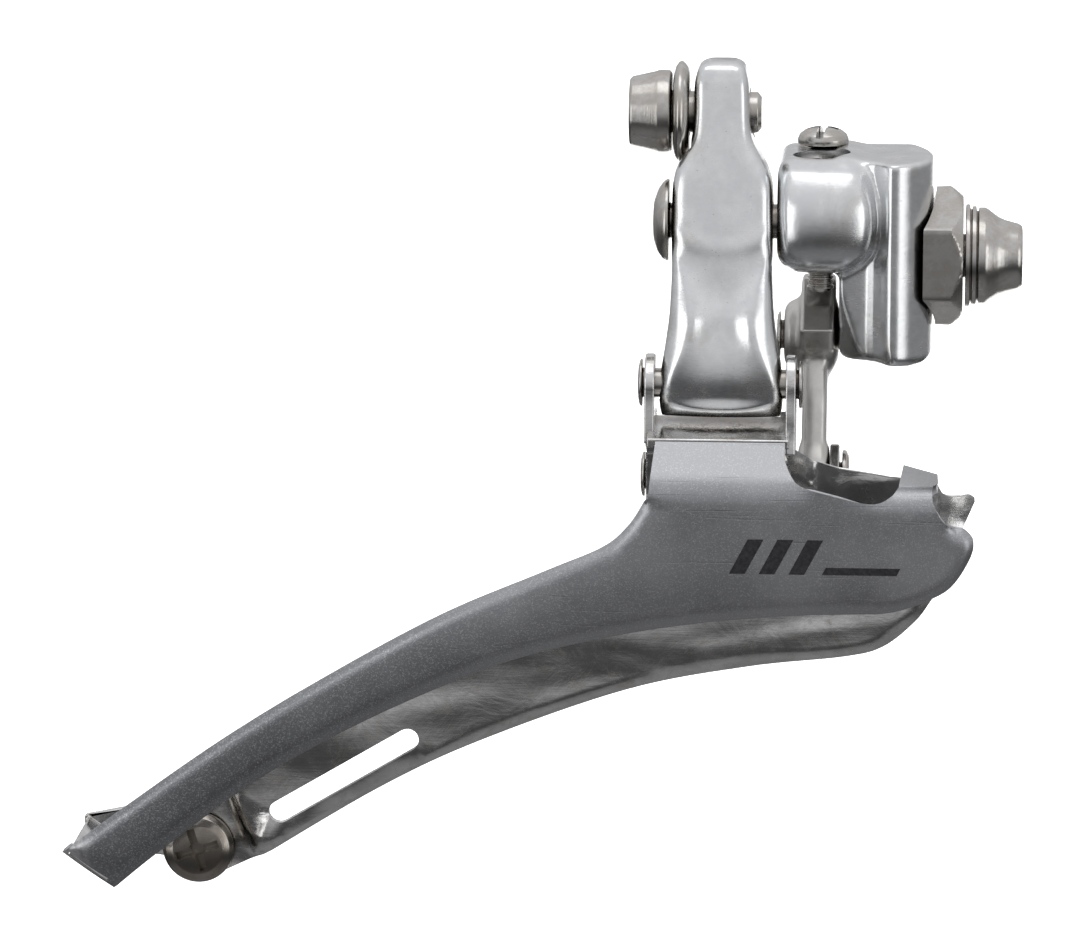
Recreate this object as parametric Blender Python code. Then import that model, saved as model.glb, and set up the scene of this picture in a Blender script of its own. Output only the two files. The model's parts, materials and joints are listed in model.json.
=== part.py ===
"""Front derailleur for a double chainset, built as separate pieces.

Frame: +X forward, +Z up, -Y outboard (the drive side), +Y towards the seat tube.
Origin: on the axis of the hanger bolt, where it meets the curved seat of the body.
All sizes below are millimetres; MM turns them into metres.
"""
import math

import bpy
import bmesh
from mathutils import Vector
from mathutils.geometry import delaunay_2d_cdt

MM = 0.001
GAP = 0.3                      # clearance between two pieces that touch
ROUND = 24                     # sides of a round piece

# linkage, (Y, Z) of the four pivots; every pivot runs along X
LINK_LENGTH = 18.0
REST_TILT = math.radians(20.0)
PIVOT_1 = (-4.8, 4.35)         # outer link on the body
PIVOT_2 = (PIVOT_1[0] - LINK_LENGTH * math.sin(REST_TILT),
           PIVOT_1[1] - LINK_LENGTH * math.cos(REST_TILT))   # outer link in the cage ears
PIVOT_3 = (1.7, -9.3)          # inner link on the body
PIVOT_4 = (-4.76, -24.0)       # inner link in the cage
PIN_RADIUS = 1.6
BIG_PIN_RADIUS = 1.9
BORE_CLEARANCE = 0.3
OUTER_SWING = math.radians(32.0)
INNER_RATIO = 1.0814           # inner link turns this much more than the outer link

# body
SEAT_RADIUS = 17.0             # of the frame hanger's curved face
SEAT_HALF_WIDTH = 7.0
BODY_TOP = 11.2
FLANGE_BOTTOM = -11.4
BOSS_BOTTOM = -1.0
BOSS_LEFT = -17.0
BOSS_RIGHT = -6.4
BOSS_BULGE_RADIUS = 5.6
FLANGE_BACK = -10.2
BODY_NEAR = -8.3               # outboard ridge of the flange
VALLEY_NEAR = -6.6             # hollow between the ridge and the boss
BODY_FAR = 8.8
BOLT_THREAD_RADIUS = 2.4
BOLT_HOLE_RADIUS = 2.7
WASHER_BORE = 2.75
WASHER_FLATS = 13.5            # hexagonal radius washer, across flats
SOCKET_FLATS = 5.0             # hexagon socket of the hanger bolt and of the cable anchor bolt

# limit screws
SCREW_X = -12.3
NEAR_SCREW_Y = -1.1
FAR_SCREW_Y = 5.6
SCREW_RADIUS = 1.5
NEAR_TIP_Z = -3.9
FAR_TIP_Z = -2.9
HEAD_RADIUS = 2.85
NEAR_HEAD_Z = 8.9              # underside of the sunk head
SLOT_TURN = 8.0                # degrees, how the screwdriver slots stand
SLOT_HALF_WIDTH = 0.45

# cage
INNER_FACE = -9.5              # outboard face of the inner plate
OUTER_FACE = -22.5             # outboard face of the outer plate, at the front
TAIL_FACE = -20.0              # and at the tail
SHEET = 1.0
LEFT_EAR = (-31.05, -29.95)
RIGHT_EAR = (-15.7, -14.6)
REAR_EAR = (-11.0, -9.95)
WEB_TOP = -17.6
WEB_EDGE = -17.1
EAR_RADIUS = 3.2
REAR_EAR_RADIUS = 3.6
TAIL_SCREW = (-81.1, -66.7)    # X, Z
TAIL_STEP = 2.6                # how far the tail flange steps inboard
TAIL_HOLE_RADIUS = 1.75
RECESS_TURN = 18.0             # degrees, how the cross recess of the tail screw stands

# cable anchor, (Y, Z) of its axis
ANCHOR = (-1.0, 15.8)
ANCHOR_RADIUS = 2.3
ANCHOR_HOLE_RADIUS = 2.75
ANCHOR_FACE_RADIUS = 5.95      # spot face that the anchor plate sits in
ANCHOR_FACE_X = -26.45

POLISHED = ((0.80, 0.80, 0.81), 0.22, 1.0)
STEEL = ((0.55, 0.54, 0.52), 0.30, 1.0)
CHROMED = ((0.60, 0.60, 0.60), 0.18, 1.0)
PAINT = ((0.30, 0.31, 0.32), 0.45, 0.6)
SPRING_STEEL = ((0.25, 0.25, 0.26), 0.40, 1.0)
PLASTIC = ((0.75, 0.75, 0.72), 0.55, 0.0)


def clear_scene():
    for thing in list(bpy.data.objects):
        bpy.data.objects.remove(thing, do_unlink=True)


def material(name, look):
    colour, roughness, metallic = look
    made = bpy.data.materials.new(name)
    made.use_nodes = True
    shader = made.node_tree.nodes["Principled BSDF"]
    shader.inputs["Base Color"].default_value = (*colour, 1.0)
    shader.inputs["Roughness"].default_value = roughness
    shader.inputs["Metallic"].default_value = metallic
    return made


def add_object(name, mesh_builder, look, origin=(0.0, 0.0, 0.0)):
    """Make an object from a bmesh in millimetres, with its origin at a point of its joint axis."""
    bmesh.ops.recalc_face_normals(mesh_builder, faces=mesh_builder.faces)
    centre = Vector(origin)
    for vertex in mesh_builder.verts:
        vertex.co = (vertex.co - centre) * MM
    mesh = bpy.data.meshes.new(name)
    mesh_builder.to_mesh(mesh)
    mesh_builder.free()
    mesh.shade_smooth()
    mesh.set_sharp_from_angle(angle=math.radians(35.0))
    made = bpy.data.objects.new(name, mesh)
    made.location = centre * MM
    bpy.context.scene.collection.objects.link(made)
    if look is not None:
        mesh.materials.append(material(name, look))
    return made


def cutter(name, mesh_builder):
    made = add_object(name, mesh_builder, None)
    made.hide_render = True
    made.display_type = "WIRE"
    return made


def boolean(target, tool, operation="DIFFERENCE"):
    change = target.modifiers.new(tool.name, "BOOLEAN")
    change.operation = operation
    change.object = tool
    change.solver = "EXACT"


def soften(target, width, segments=1, angle=40.0):
    change = target.modifiers.new("soften", "BEVEL")
    change.width = width * MM
    change.segments = segments
    change.limit_method = "ANGLE"
    change.angle_limit = math.radians(angle)


def bridge_rings(rings, closed_ends=True):
    """Join equal rings of points, one after another, and cap the two ends."""
    made = bmesh.new()
    loops = [[made.verts.new(point) for point in ring] for ring in rings]
    count = len(rings[0])
    for first, second in zip(loops, loops[1:]):
        for index in range(count):
            after = (index + 1) % count
            made.faces.new((first[index], first[after], second[after], second[index]))
    if closed_ends:
        made.faces.new(loops[0])
        made.faces.new(reversed(loops[-1]))
    return made


def circle_x(x, radius, y, z, count=ROUND):
    points = []
    for index in range(count):
        turn = 2.0 * math.pi * index / count
        points.append((x, y + radius * math.sin(turn), z + radius * math.cos(turn)))
    return points


def hexagon_x(x, across_flats, y, z, count=ROUND):
    """A hexagon ring with as many points as a circle ring, so the two can be bridged."""
    points = []
    for index in range(count):
        turn = 2.0 * math.pi * index / count
        offset = turn % (math.pi / 3.0) - math.pi / 6.0
        radius = across_flats / 2.0 / math.cos(offset)
        points.append((x, y + radius * math.sin(turn), z + radius * math.cos(turn)))
    return points


def turned_x(stations, y, z, count=ROUND):
    """A turned solid along X from (x, radius) stations."""
    return bridge_rings([circle_x(x, radius, y, z, count) for x, radius in stations])


def ring_solid_x(outer, inner, y, z, count=ROUND):
    """A turned tube: outer stations one way, inner stations back, closed on itself."""
    stations = list(outer) + list(reversed(inner))
    rings = [circle_x(x, radius, y, z, count) for x, radius in stations]
    made = bridge_rings(rings, closed_ends=False)
    made.verts.ensure_lookup_table()
    last = (len(rings) - 1) * count
    for index in range(count):
        after = (index + 1) % count
        made.faces.new((made.verts[last + index], made.verts[last + after],
                        made.verts[after], made.verts[index]))
    return made


def stand_up(mesh_builder, x, y):
    """Turn a solid made along X so that it runs along Z through (x, y)."""
    for vertex in mesh_builder.verts:
        along, side, other = vertex.co
        vertex.co = Vector((x + other, y + side, along))
    return mesh_builder


def face_out(mesh_builder, x, z):
    """Turn a solid made along X so that it runs along Y through (x, z)."""
    for vertex in mesh_builder.verts:
        along, side, other = vertex.co
        vertex.co = Vector((x + side, along, z + other))
    return mesh_builder


def prism(outline, low, high, place):
    """Extrude a flat outline between two levels; place(u, v, level) gives the point."""
    rings = [[place(u, v, level) for u, v in outline] for level in (low, high)]
    return bridge_rings(rings)


def along_x(u, v, level):
    return (level, u, v)


def along_y(u, v, level):
    return (u, level, v)


def along_z(u, v, level):
    return (u, v, level)


def arc(centre, radius, start, end, steps):
    """Points of an arc; angles in degrees, measured from the first axis to the second."""
    points = []
    for index in range(steps + 1):
        turn = math.radians(start + (end - start) * index / steps)
        points.append((centre[0] + radius * math.cos(turn),
                       centre[1] + radius * math.sin(turn)))
    return points


def smooth(points, steps=4):
    """A smooth open curve through the given points."""
    curve = []
    padded = [points[0]] + list(points) + [points[-1]]
    for before, start, end, after in zip(padded, padded[1:], padded[2:], padded[3:]):
        for index in range(steps):
            t = index / steps
            curve.append(tuple(
                0.5 * (2 * b + (c - a) * t + (2 * a - 5 * b + 4 * c - d) * t * t
                       + (3 * b - a - 3 * c + d) * t ** 3)
                for a, b, c, d in zip(before, start, end, after)))
    curve.append(tuple(points[-1]))
    return curve


def bar_outline(centre, reach, half_width, turn):
    """A straight bar through a centre, turned by degrees from the first axis."""
    angle = math.radians(turn)
    points = []
    for u, v in ((-reach, -half_width), (reach, -half_width), (reach, half_width),
                 (-reach, half_width)):
        points.append((centre[0] + u * math.cos(angle) - v * math.sin(angle),
                       centre[1] + u * math.sin(angle) + v * math.cos(angle)))
    return points


def ease(value, start, end):
    """0 before start, 1 after end, smooth between."""
    t = min(1.0, max(0.0, (value - start) / (end - start)))
    return t * t * (3.0 - 2.0 * t)


def distance_to(points, s, t):
    """Distance from (s, t) to an open chain of points."""
    best = 1.0e9
    for (ax, ay), (bx, by) in zip(points, points[1:]):
        dx = bx - ax
        dy = by - ay
        share = ((s - ax) * dx + (t - ay) * dy) / (dx * dx + dy * dy)
        share = min(1.0, max(0.0, share))
        best = min(best, math.hypot(s - ax - share * dx, t - ay - share * dy))
    return best


def inside(outline, s, t):
    hit = False
    for (ax, ay), (bx, by) in zip(outline, outline[1:] + outline[:1]):
        if (ay > t) != (by > t) and s < (bx - ax) * (t - ay) / (by - ay) + ax:
            hit = not hit
    return hit


def sheet_metal(outline, holes, place, thickness, step, creases=()):
    """Cut a flat pattern from sheet, then press it: place(s, t) gives a point of its outer face."""
    flat = [Vector(point) for point in outline]
    edges = [(index, (index + 1) % len(outline)) for index in range(len(outline))]
    for hole in holes:
        base = len(flat)
        flat += [Vector(point) for point in hole]
        edges += [(base + index, base + (index + 1) % len(hole)) for index in range(len(hole))]
    walls = [outline + outline[:1]] + [hole + hole[:1] for hole in holes]
    for crease in creases:
        base = len(flat)
        flat += [Vector(point) for point in crease]
        edges += [(base + index, base + index + 1) for index in range(len(crease) - 1)]
        walls.append(list(crease))
    low_s = min(point[0] for point in outline)
    high_s = max(point[0] for point in outline)
    low_t = min(point[1] for point in outline)
    high_t = max(point[1] for point in outline)
    for row in range(int((high_t - low_t) / step) + 1):
        for column in range(int((high_s - low_s) / step) + 1):
            s = low_s + step * (column + 0.5 * (row % 2))
            t = low_t + step * row
            if not inside(outline, s, t) or any(inside(hole, s, t) for hole in holes):
                continue
            if min(distance_to(wall, s, t) for wall in walls) > 0.45 * step:
                flat.append(Vector((s, t)))
    points, _, faces, _, _, _ = delaunay_2d_cdt(flat, edges, [], 0, 1.0e-4)
    kept = []
    for face in faces:
        s = sum(points[index][0] for index in face) / 3.0
        t = sum(points[index][1] for index in face) / 3.0
        if inside(outline, s, t) and not any(inside(hole, s, t) for hole in holes):
            kept.append(face)
    return thicken([tuple(point) for point in points], kept, place, thickness)


def thicken(points, faces, place, thickness):
    """Two copies of a pressed sheet, one thickness apart, joined round their edges."""
    made = bmesh.new()
    outer = []
    inner = []
    tiny = 0.01
    for s, t in points:
        here = Vector(place(s, t))
        along_s = Vector(place(s + tiny, t)) - Vector(place(s - tiny, t))
        along_t = Vector(place(s, t + tiny)) - Vector(place(s, t - tiny))
        inward = along_t.cross(along_s).normalized()
        outer.append(made.verts.new(here))
        inner.append(made.verts.new(here + inward * thickness))
    borders = {}
    for face in faces:
        made.faces.new([outer[index] for index in face])
        made.faces.new([inner[index] for index in reversed(face)])
        for first, second in zip(face, face[1:] + face[:1]):
            if (second, first) in borders:
                del borders[(second, first)]
            else:
                borders[(first, second)] = True
    for first, second in borders:
        made.faces.new((outer[second], outer[first], inner[first], inner[second]))
    loose = [vertex for vertex in made.verts if not vertex.link_faces]
    bmesh.ops.delete(made, geom=loose, context="VERTS")
    return made


# ---------------------------------------------------------------- body and its fasteners

def make_body():
    """Forged body: a flange with the curved hanger seat, and a boss for pivot and limit screws."""
    half_turn = math.degrees(math.asin(SEAT_HALF_WIDTH / SEAT_RADIUS))
    plan = [(FLANGE_BACK, VALLEY_NEAR), (-7.6, VALLEY_NEAR), (-5.2, BODY_NEAR),
            (-3.2, BODY_NEAR + 0.3)]
    plan += arc((-SEAT_RADIUS, 0.0), SEAT_RADIUS, -half_turn, half_turn, 10)
    plan += [(-3.1, BODY_FAR), (FLANGE_BACK, BODY_FAR)]
    body = add_object("mount_body", prism(plan, FLANGE_BOTTOM, BODY_TOP, along_z), POLISHED)
    y, z = PIVOT_1
    side = [(BODY_FAR, BOSS_BOTTOM), (BODY_FAR, BODY_TOP), (-6.6, BODY_TOP)]
    side += arc((y, z), BOSS_BULGE_RADIUS, 120.0, 270.0, 10)
    side += [(y + 1.5, BOSS_BOTTOM)]
    boss = cutter("boss_shape", prism(side, BOSS_LEFT, BOSS_RIGHT, along_x))
    soften(boss, 0.8, angle=60.0)
    boolean(body, boss, "UNION")
    boolean(body, cutter("pivot_1_hole", turned_x(
        [(BOSS_LEFT - 1.0, BIG_PIN_RADIUS + 0.1), (-9.0, BIG_PIN_RADIUS + 0.1)], *PIVOT_1)))
    boolean(body, cutter("pivot_3_hole", turned_x(
        [(FLANGE_BACK - 1.0, PIN_RADIUS + 0.1), (-4.6, PIN_RADIUS + 0.1)], *PIVOT_3, 16)))
    boolean(body, cutter("clamp_thread", turned_x(
        [(FLANGE_BACK + 0.2, BOLT_HOLE_RADIUS), (1.0, BOLT_HOLE_RADIUS)], 0.0, 0.0)))
    for name, screw_y in (("near_screw_hole", NEAR_SCREW_Y), ("far_screw_hole", FAR_SCREW_Y)):
        hole = turned_x([(BOSS_BOTTOM - 1.5, SCREW_RADIUS + 0.25),
                         (BODY_TOP + 1.0, SCREW_RADIUS + 0.25)], 0.0, 0.0, 16)
        boolean(body, cutter(name, stand_up(hole, SCREW_X, screw_y)))
    sink = turned_x([(NEAR_HEAD_Z - GAP, HEAD_RADIUS + GAP),
                     (BODY_TOP + 1.0, HEAD_RADIUS + GAP)], 0.0, 0.0)
    boolean(body, cutter("near_screw_sink", stand_up(sink, SCREW_X, NEAR_SCREW_Y)))
    return body


def make_limit_screw(name, y, head_base, tip):
    """Pan-head machine screw standing upright, with a cross slot in its head."""
    stations = [(tip, SCREW_RADIUS - 0.4), (tip + 0.5, SCREW_RADIUS), (head_base, SCREW_RADIUS),
                (head_base, HEAD_RADIUS), (head_base + 0.9, HEAD_RADIUS),
                (head_base + 1.6, HEAD_RADIUS - 0.75), (head_base + 1.9, HEAD_RADIUS - 1.7)]
    screw = add_object(name, stand_up(turned_x(stations, 0.0, 0.0), SCREW_X, y), STEEL,
                       (SCREW_X, y, head_base))
    for part, turn, reach in (("slot", SLOT_TURN, 3.4), ("cross", SLOT_TURN + 90.0, 1.5)):
        outline = bar_outline((SCREW_X, y), reach, SLOT_HALF_WIDTH, 90.0 - turn)
        boolean(screw, cutter(name + "_" + part,
                              prism(outline, head_base + 1.0, head_base + 3.0, along_z)))
    return screw


def make_clamp_bolt():
    """Hanger bolt: thread into the body, flange, tapering head with a 5 mm hexagon socket."""
    shank = ((-9.6, BOLT_THREAD_RADIUS - 0.5), (-9.1, BOLT_THREAD_RADIUS),
             (4.95, BOLT_THREAD_RADIUS))
    head = ((4.95, 5.4), (5.7, 5.4), (6.3, 5.0), (7.2, 4.25), (8.4, 3.8), (9.4, 3.6), (9.8, 3.2))
    rings = [circle_x(x, radius, 0.0, 0.0) for x, radius in shank + head]
    rings += [hexagon_x(x, SOCKET_FLATS, 0.0, 0.0) for x in (9.8, 6.6)]
    return add_object("clamp_bolt", bridge_rings(rings), STEEL, (5.0, 0.0, 0.0))


def make_radius_washer():
    """Thick hexagonal washer, hollow-ground behind to hug the curved seat, with a front chamfer."""
    back = -2.4
    front = 3.3
    chamfer = 1.4
    corner_radius = 7.8
    face_radius = 6.6
    rings = [hexagon_x(back, WASHER_FLATS, 0.0, 0.0)]
    for share in (0.0, 0.25, 0.5, 0.75, 1.0):
        limit = corner_radius + (face_radius - corner_radius) * share
        ring = []
        for x, y, z in hexagon_x(front - chamfer * (1.0 - share), WASHER_FLATS, 0.0, 0.0):
            pulled = min(1.0, limit / math.hypot(y, z))
            ring.append((x, y * pulled, z * pulled))
        rings.append(ring)
    rings += [circle_x(front, WASHER_BORE, 0.0, 0.0), circle_x(back, WASHER_BORE, 0.0, 0.0)]
    rings.append(rings[0])
    made = bridge_rings(rings, closed_ends=False)
    bmesh.ops.remove_doubles(made, verts=made.verts, dist=1.0e-4)
    washer = add_object("radius_washer", made, STEEL)
    hollow = SEAT_RADIUS + GAP
    drum = stand_up(turned_x([(-15.0, hollow), (15.0, hollow)], 0.0, 0.0, 96),
                    -SEAT_RADIUS, 0.0)
    boolean(washer, cutter("seat_drum", drum))
    return washer


def make_washer(name, start, end, radius):
    outer = [(start, radius - 0.1), (start + 0.1, radius), (end - 0.1, radius), (end, radius - 0.1)]
    bore = [(start, WASHER_BORE), (end, WASHER_BORE)]
    return add_object(name, ring_solid_x(outer, bore, 0.0, 0.0), STEEL)


# ---------------------------------------------------------------- links

def link_section(z, left, right, near, far, corner):
    """A rounded rectangle in plan: one level of the outer link."""
    reach = min(corner, (right - left) / 2.0, (far - near) / 2.0)
    points = []
    corners = (((right - reach), (far - reach), 0.0), ((left + reach), (far - reach), 90.0),
               ((left + reach), (near + reach), 180.0), ((right - reach), (near + reach), 270.0))
    for x, y, start in corners:
        points += [(px, py, z) for px, py in arc((x, y), reach, start, start + 90.0, 3)]
    return points


# height, left, right, near, far and corner radius of the outer link, from its top down
LINK_LEVELS = (
    (21.6, -25.0, -21.6, -3.4, 1.2, 1.0), (20.9, -26.0, -20.6, -4.4, 2.3, 1.2),
    (18.5, -26.3, -20.2, -4.9, 2.9, 1.2), (14.0, -26.4, -20.2, -5.2, 2.7, 1.2),
    (12.5, -26.6, -19.5, -6.2, 1.7, 1.2), (11.6, -27.2, -18.9, -6.6, 1.1, 1.3),
    (10.9, -27.9, -18.4, -7.0, 0.6, 1.4), (10.0, -28.2, -17.9, -7.5, 0.0, 1.6),
    (8.8, -28.4, -17.5, -7.9, -0.4, 1.7),
    (4.4, -28.5, -17.4, -9.0, -1.2, 1.8), (1.0, -28.5, -17.4, -10.0, -3.0, 1.8),
    (-3.5, -28.4, -17.4, -11.0, -5.2, 1.8), (-8.0, -28.9, -16.8, -12.6, -6.8, 1.8),
    (-11.0, -29.3, -16.3, -13.9, -7.7, 1.6), (-13.4, -29.5, -16.1, -14.4, -7.6, 1.4),
    (-15.2, -29.4, -16.2, -13.6, -8.5, 1.2), (-16.1, -29.2, -16.4, -12.5, -9.7, 1.0))


def make_outer_link():
    """Forged outer link with the cable arm on top and the barrel of its lower pivot below."""
    sections = [link_section(*level) for level in LINK_LEVELS]
    link = add_object("outer_link", bridge_rings(sections), POLISHED, (-23.0, *PIVOT_1))
    for name, pivot, radius in (("link_pivot_1_bore", PIVOT_1, BIG_PIN_RADIUS),
                                ("link_pivot_2_bore", PIVOT_2, PIN_RADIUS)):
        bore = radius + BORE_CLEARANCE
        boolean(link, cutter(name, turned_x([(-40.0, bore), (-10.0, bore)], *pivot)))
    boolean(link, cutter("anchor_hole", turned_x(
        [(-30.0, ANCHOR_HOLE_RADIUS), (-15.0, ANCHOR_HOLE_RADIUS)], *ANCHOR)))
    boolean(link, cutter("anchor_face", turned_x(
        [(-30.0, ANCHOR_FACE_RADIUS), (ANCHOR_FACE_X, ANCHOR_FACE_RADIUS)], *ANCHOR)))
    return link


def make_inner_link():
    """Inner link: hub on the body with two stop pads under the limit screws, arm, lower barrel."""
    y3, z3 = PIVOT_3
    y4, z4 = PIVOT_4
    hub_outer = [(-16.4, 2.4), (-15.9, 3.3), (-14.6, 3.8), (-10.5, 3.8)]
    hub = turned_x(hub_outer, y3, z3)
    link = add_object("inner_link", hub, POLISHED, (-13.0, y3, z3))
    swing = OUTER_SWING * INNER_RATIO
    near_height = NEAR_TIP_Z - z3 - GAP
    near_pad = []
    for across in (-1.3 - 3.3, -0.5):
        near_pad.append((y3 + across * math.cos(swing) - near_height * math.sin(swing),
                         z3 + across * math.sin(swing) + near_height * math.cos(swing)))
    far_height = FAR_TIP_Z - GAP
    stops = [(y3 + 5.3, z3 + 1.0), (y3 + 5.3, far_height), (y3 + 1.6, far_height),
             near_pad[1], near_pad[0], (y3 - 4.6, z3 - 1.0), (y3, z3 - 2.5)]
    boolean(link, cutter("stop_pads", prism(stops, -14.5, -10.6, along_x)), "UNION")
    length = math.hypot(y4 - y3, z4 - z3)
    down = ((y4 - y3) / length, (z4 - z3) / length)
    side = (-down[1], down[0])
    arm = []
    for along, width in ((0.0, -3.3), (length, -2.5), (length, 2.5), (0.0, 3.3)):
        arm.append((y3 + down[0] * along + side[0] * width, z3 + down[1] * along + side[1] * width))
    boolean(link, cutter("arm_shape", prism(arm, -14.2, -11.4, along_x)), "UNION")
    boolean(link, cutter("barrel_shape", turned_x([(-14.25, 3.3), (-11.35, 3.3)], y4, z4)), "UNION")
    for name, pivot in (("link_pivot_3_bore", PIVOT_3), ("link_pivot_4_bore", PIVOT_4)):
        bore = PIN_RADIUS + BORE_CLEARANCE
        boolean(link, cutter(name, turned_x([(-20.0, bore), (-5.0, bore)], *pivot)))
    return link


def make_pins():
    """The four pivot pins, each with its heads."""
    y, z = PIVOT_1
    dome = [(-30.6, 1.6), (-30.35, 3.2), (-29.8, 4.2), (-29.2, 4.6), (-28.8, 4.6)]
    add_object("outer_link_upper_pin",
               turned_x(dome + [(-28.8, BIG_PIN_RADIUS), (-9.3, BIG_PIN_RADIUS)], y, z), STEEL)
    rivet = [(-31.85, 2.2), (-31.65, 2.65), (-31.35, 2.65), (-31.35, PIN_RADIUS),
             (-14.3, PIN_RADIUS), (-14.3, 2.65), (-14.0, 2.65), (-13.8, 2.2)]
    add_object("outer_link_lower_pin", turned_x(rivet, *PIVOT_2), STEEL)
    stub = [(-17.2, 1.9), (-17.0, 2.6), (-16.7, 2.6), (-16.7, PIN_RADIUS), (-5.0, PIN_RADIUS)]
    add_object("inner_link_upper_pin", turned_x(stub, *PIVOT_3), STEEL)
    long_rivet = [(-31.85, 2.1), (-31.65, 2.55), (-31.35, 2.55), (-31.35, PIN_RADIUS),
                  (-9.65, PIN_RADIUS), (-9.65, 3.0), (-9.2, 3.0), (-8.9, 2.6)]
    add_object("inner_link_lower_pin", turned_x(long_rivet, *PIVOT_4), STEEL)


def make_spring():
    """Torsion return spring round the lower inner pivot, on its plastic sleeve."""
    y, z = PIVOT_4
    add_object("spring_sleeve", ring_solid_x([(-29.5, 2.25), (-15.0, 2.25)],
                                             [(-29.5, 1.85), (-15.0, 1.85)], y, z, 20), PLASTIC)
    wire = 0.42
    coil = 2.85
    turns = 8
    per_turn = 12
    left, right = -28.9, -16.2
    path = [(left, y + 2.0, z + 7.0), (left, y + coil, z + 1.5)]
    for index in range(turns * per_turn + 1):
        turn = math.pi / 2.0 + 2.0 * math.pi * index / per_turn
        x = left + (right - left) * index / (turns * per_turn)
        path.append((x, y + coil * math.sin(turn), z + coil * math.cos(turn)))
    path += [(right, y + coil, z + 1.5), (right, y + 3.6, z + 6.5)]
    curve = bpy.data.curves.new("return_spring", "CURVE")
    curve.dimensions = "3D"
    curve.bevel_depth = wire * MM
    curve.bevel_resolution = 1
    curve.use_fill_caps = True
    line = curve.splines.new("POLY")
    line.points.add(len(path) - 1)
    centre = Vector((left, y, z))
    for point, place in zip(line.points, path):
        point.co = (*((Vector(place) - centre) * MM), 1.0)
    spring = bpy.data.objects.new("return_spring", curve)
    spring.location = centre * MM
    curve.materials.append(material("return_spring", SPRING_STEEL))
    bpy.context.scene.collection.objects.link(spring)


def make_cable_clamp():
    """Anchor bolt with a 5 mm hexagon socket, and the lens-shaped plate that pinches the cable."""
    shank = ((-18.9, ANCHOR_RADIUS - 0.4), (-19.3, ANCHOR_RADIUS), (-28.8, ANCHOR_RADIUS))
    head = ((-28.8, 4.3), (-29.3, 4.6), (-30.2, 4.55), (-33.2, 3.9), (-33.35, 3.7))
    rings = [circle_x(x, radius, *ANCHOR) for x, radius in shank + head]
    rings += [hexagon_x(x, SOCKET_FLATS, *ANCHOR) for x in (-33.35, -30.4)]
    add_object("cable_anchor_bolt", bridge_rings(rings), STEEL, (-29.0, *ANCHOR))
    rim = [(-28.5, 4.5), (-28.25, 5.3), (-27.85, 5.6), (-27.35, 5.35), (-26.8, 4.7)]
    bore = [(-28.5, ANCHOR_RADIUS + GAP), (-26.8, ANCHOR_RADIUS + GAP)]
    add_object("cable_anchor_plate", ring_solid_x(rim, bore, *ANCHOR), STEEL, (-27.6, *ANCHOR))


# ---------------------------------------------------------------- cage

def lip(distance, reach):
    """How far a rolled edge stands inboard of its face, this far in from its rim."""
    if distance >= reach:
        return 0.0
    inward = reach - max(distance, 0.06 * reach)
    return reach - math.sqrt(reach * reach - inward * inward)


def bend(over, radius, angle):
    """Height and depth gained along a sheet that bends inboard by an angle and runs on straight."""
    turn = min(over / radius, angle)
    straight = max(0.0, over - radius * angle)
    height = radius * math.sin(turn) + straight * math.cos(angle)
    depth = radius * (1.0 - math.cos(turn)) + straight * math.sin(angle)
    return height, depth


TAIL_TIP = (-94.9, -64.7)
TAIL_HEEL = (-89.2, -68.7)
UPPER_EDGE = smooth([(-30.1, -22.4), (-30.8, -24.0), (-32.5, -26.6), (-35.2, -28.9),
                     (-41.3, -31.6), (-52.7, -36.8), (-65.4, -44.2), (-78.6, -52.7), TAIL_TIP], 3)
LOWER_EDGE = smooth([TAIL_HEEL, (-83.7, -64.1), (-73.3, -56.2), (-61.6, -49.3), (-48.7, -43.1),
                     (-39.6, -40.0), (-28.1, -37.6), (-15.8, -36.2), (-5.9, -35.8)], 3)
NOSE = smooth([(-5.9, -35.8), (-3.2, -35.3), (-0.3, -34.2), (2.4, -32.6), (4.3, -29.7),
               (4.8, -27.6), (3.8, -26.3), (2.6, -26.0), (1.3, -25.0), (0.4, -23.0),
               (0.3, -21.6)], 3)
WINDOW = smooth([(-3.3, -21.0), (-4.1, -22.5), (-6.2, -23.4), (-10.7, -22.5), (-13.7, -21.6),
                 (-14.8, -20.4), (-15.6, -18.2)], 3)
EDGE_ROLL = 1.7                # radius of the rolled rims
BAND_FOLD = -22.4
TAB_FOLD = -23.0
BAND_TOP = -15.9
TAB_TOP = -8.4


def outer_plate_point(s, t):
    """The outer plate's outboard face; the tail runs inboard, top band and front tab are bent."""
    y = OUTER_FACE + (TAIL_FACE - OUTER_FACE) * ease(-s, 36.0, 70.0)
    if s > -10.0 and t > TAB_FOLD:
        height, depth = bend(t - TAB_FOLD, 1.2, math.radians(90.0))
        return (s, y + depth, TAB_FOLD + height)
    if s > -30.2 and t > BAND_FOLD:
        height, depth = bend(t - BAND_FOLD, 1.8, math.radians(48.0))
        return (s, y + depth, BAND_FOLD + height)
    rim = min(distance_to(UPPER_EDGE[1:], s, t), distance_to(LOWER_EDGE, s, t))
    return (s, y + lip(rim, EDGE_ROLL), t)


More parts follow.
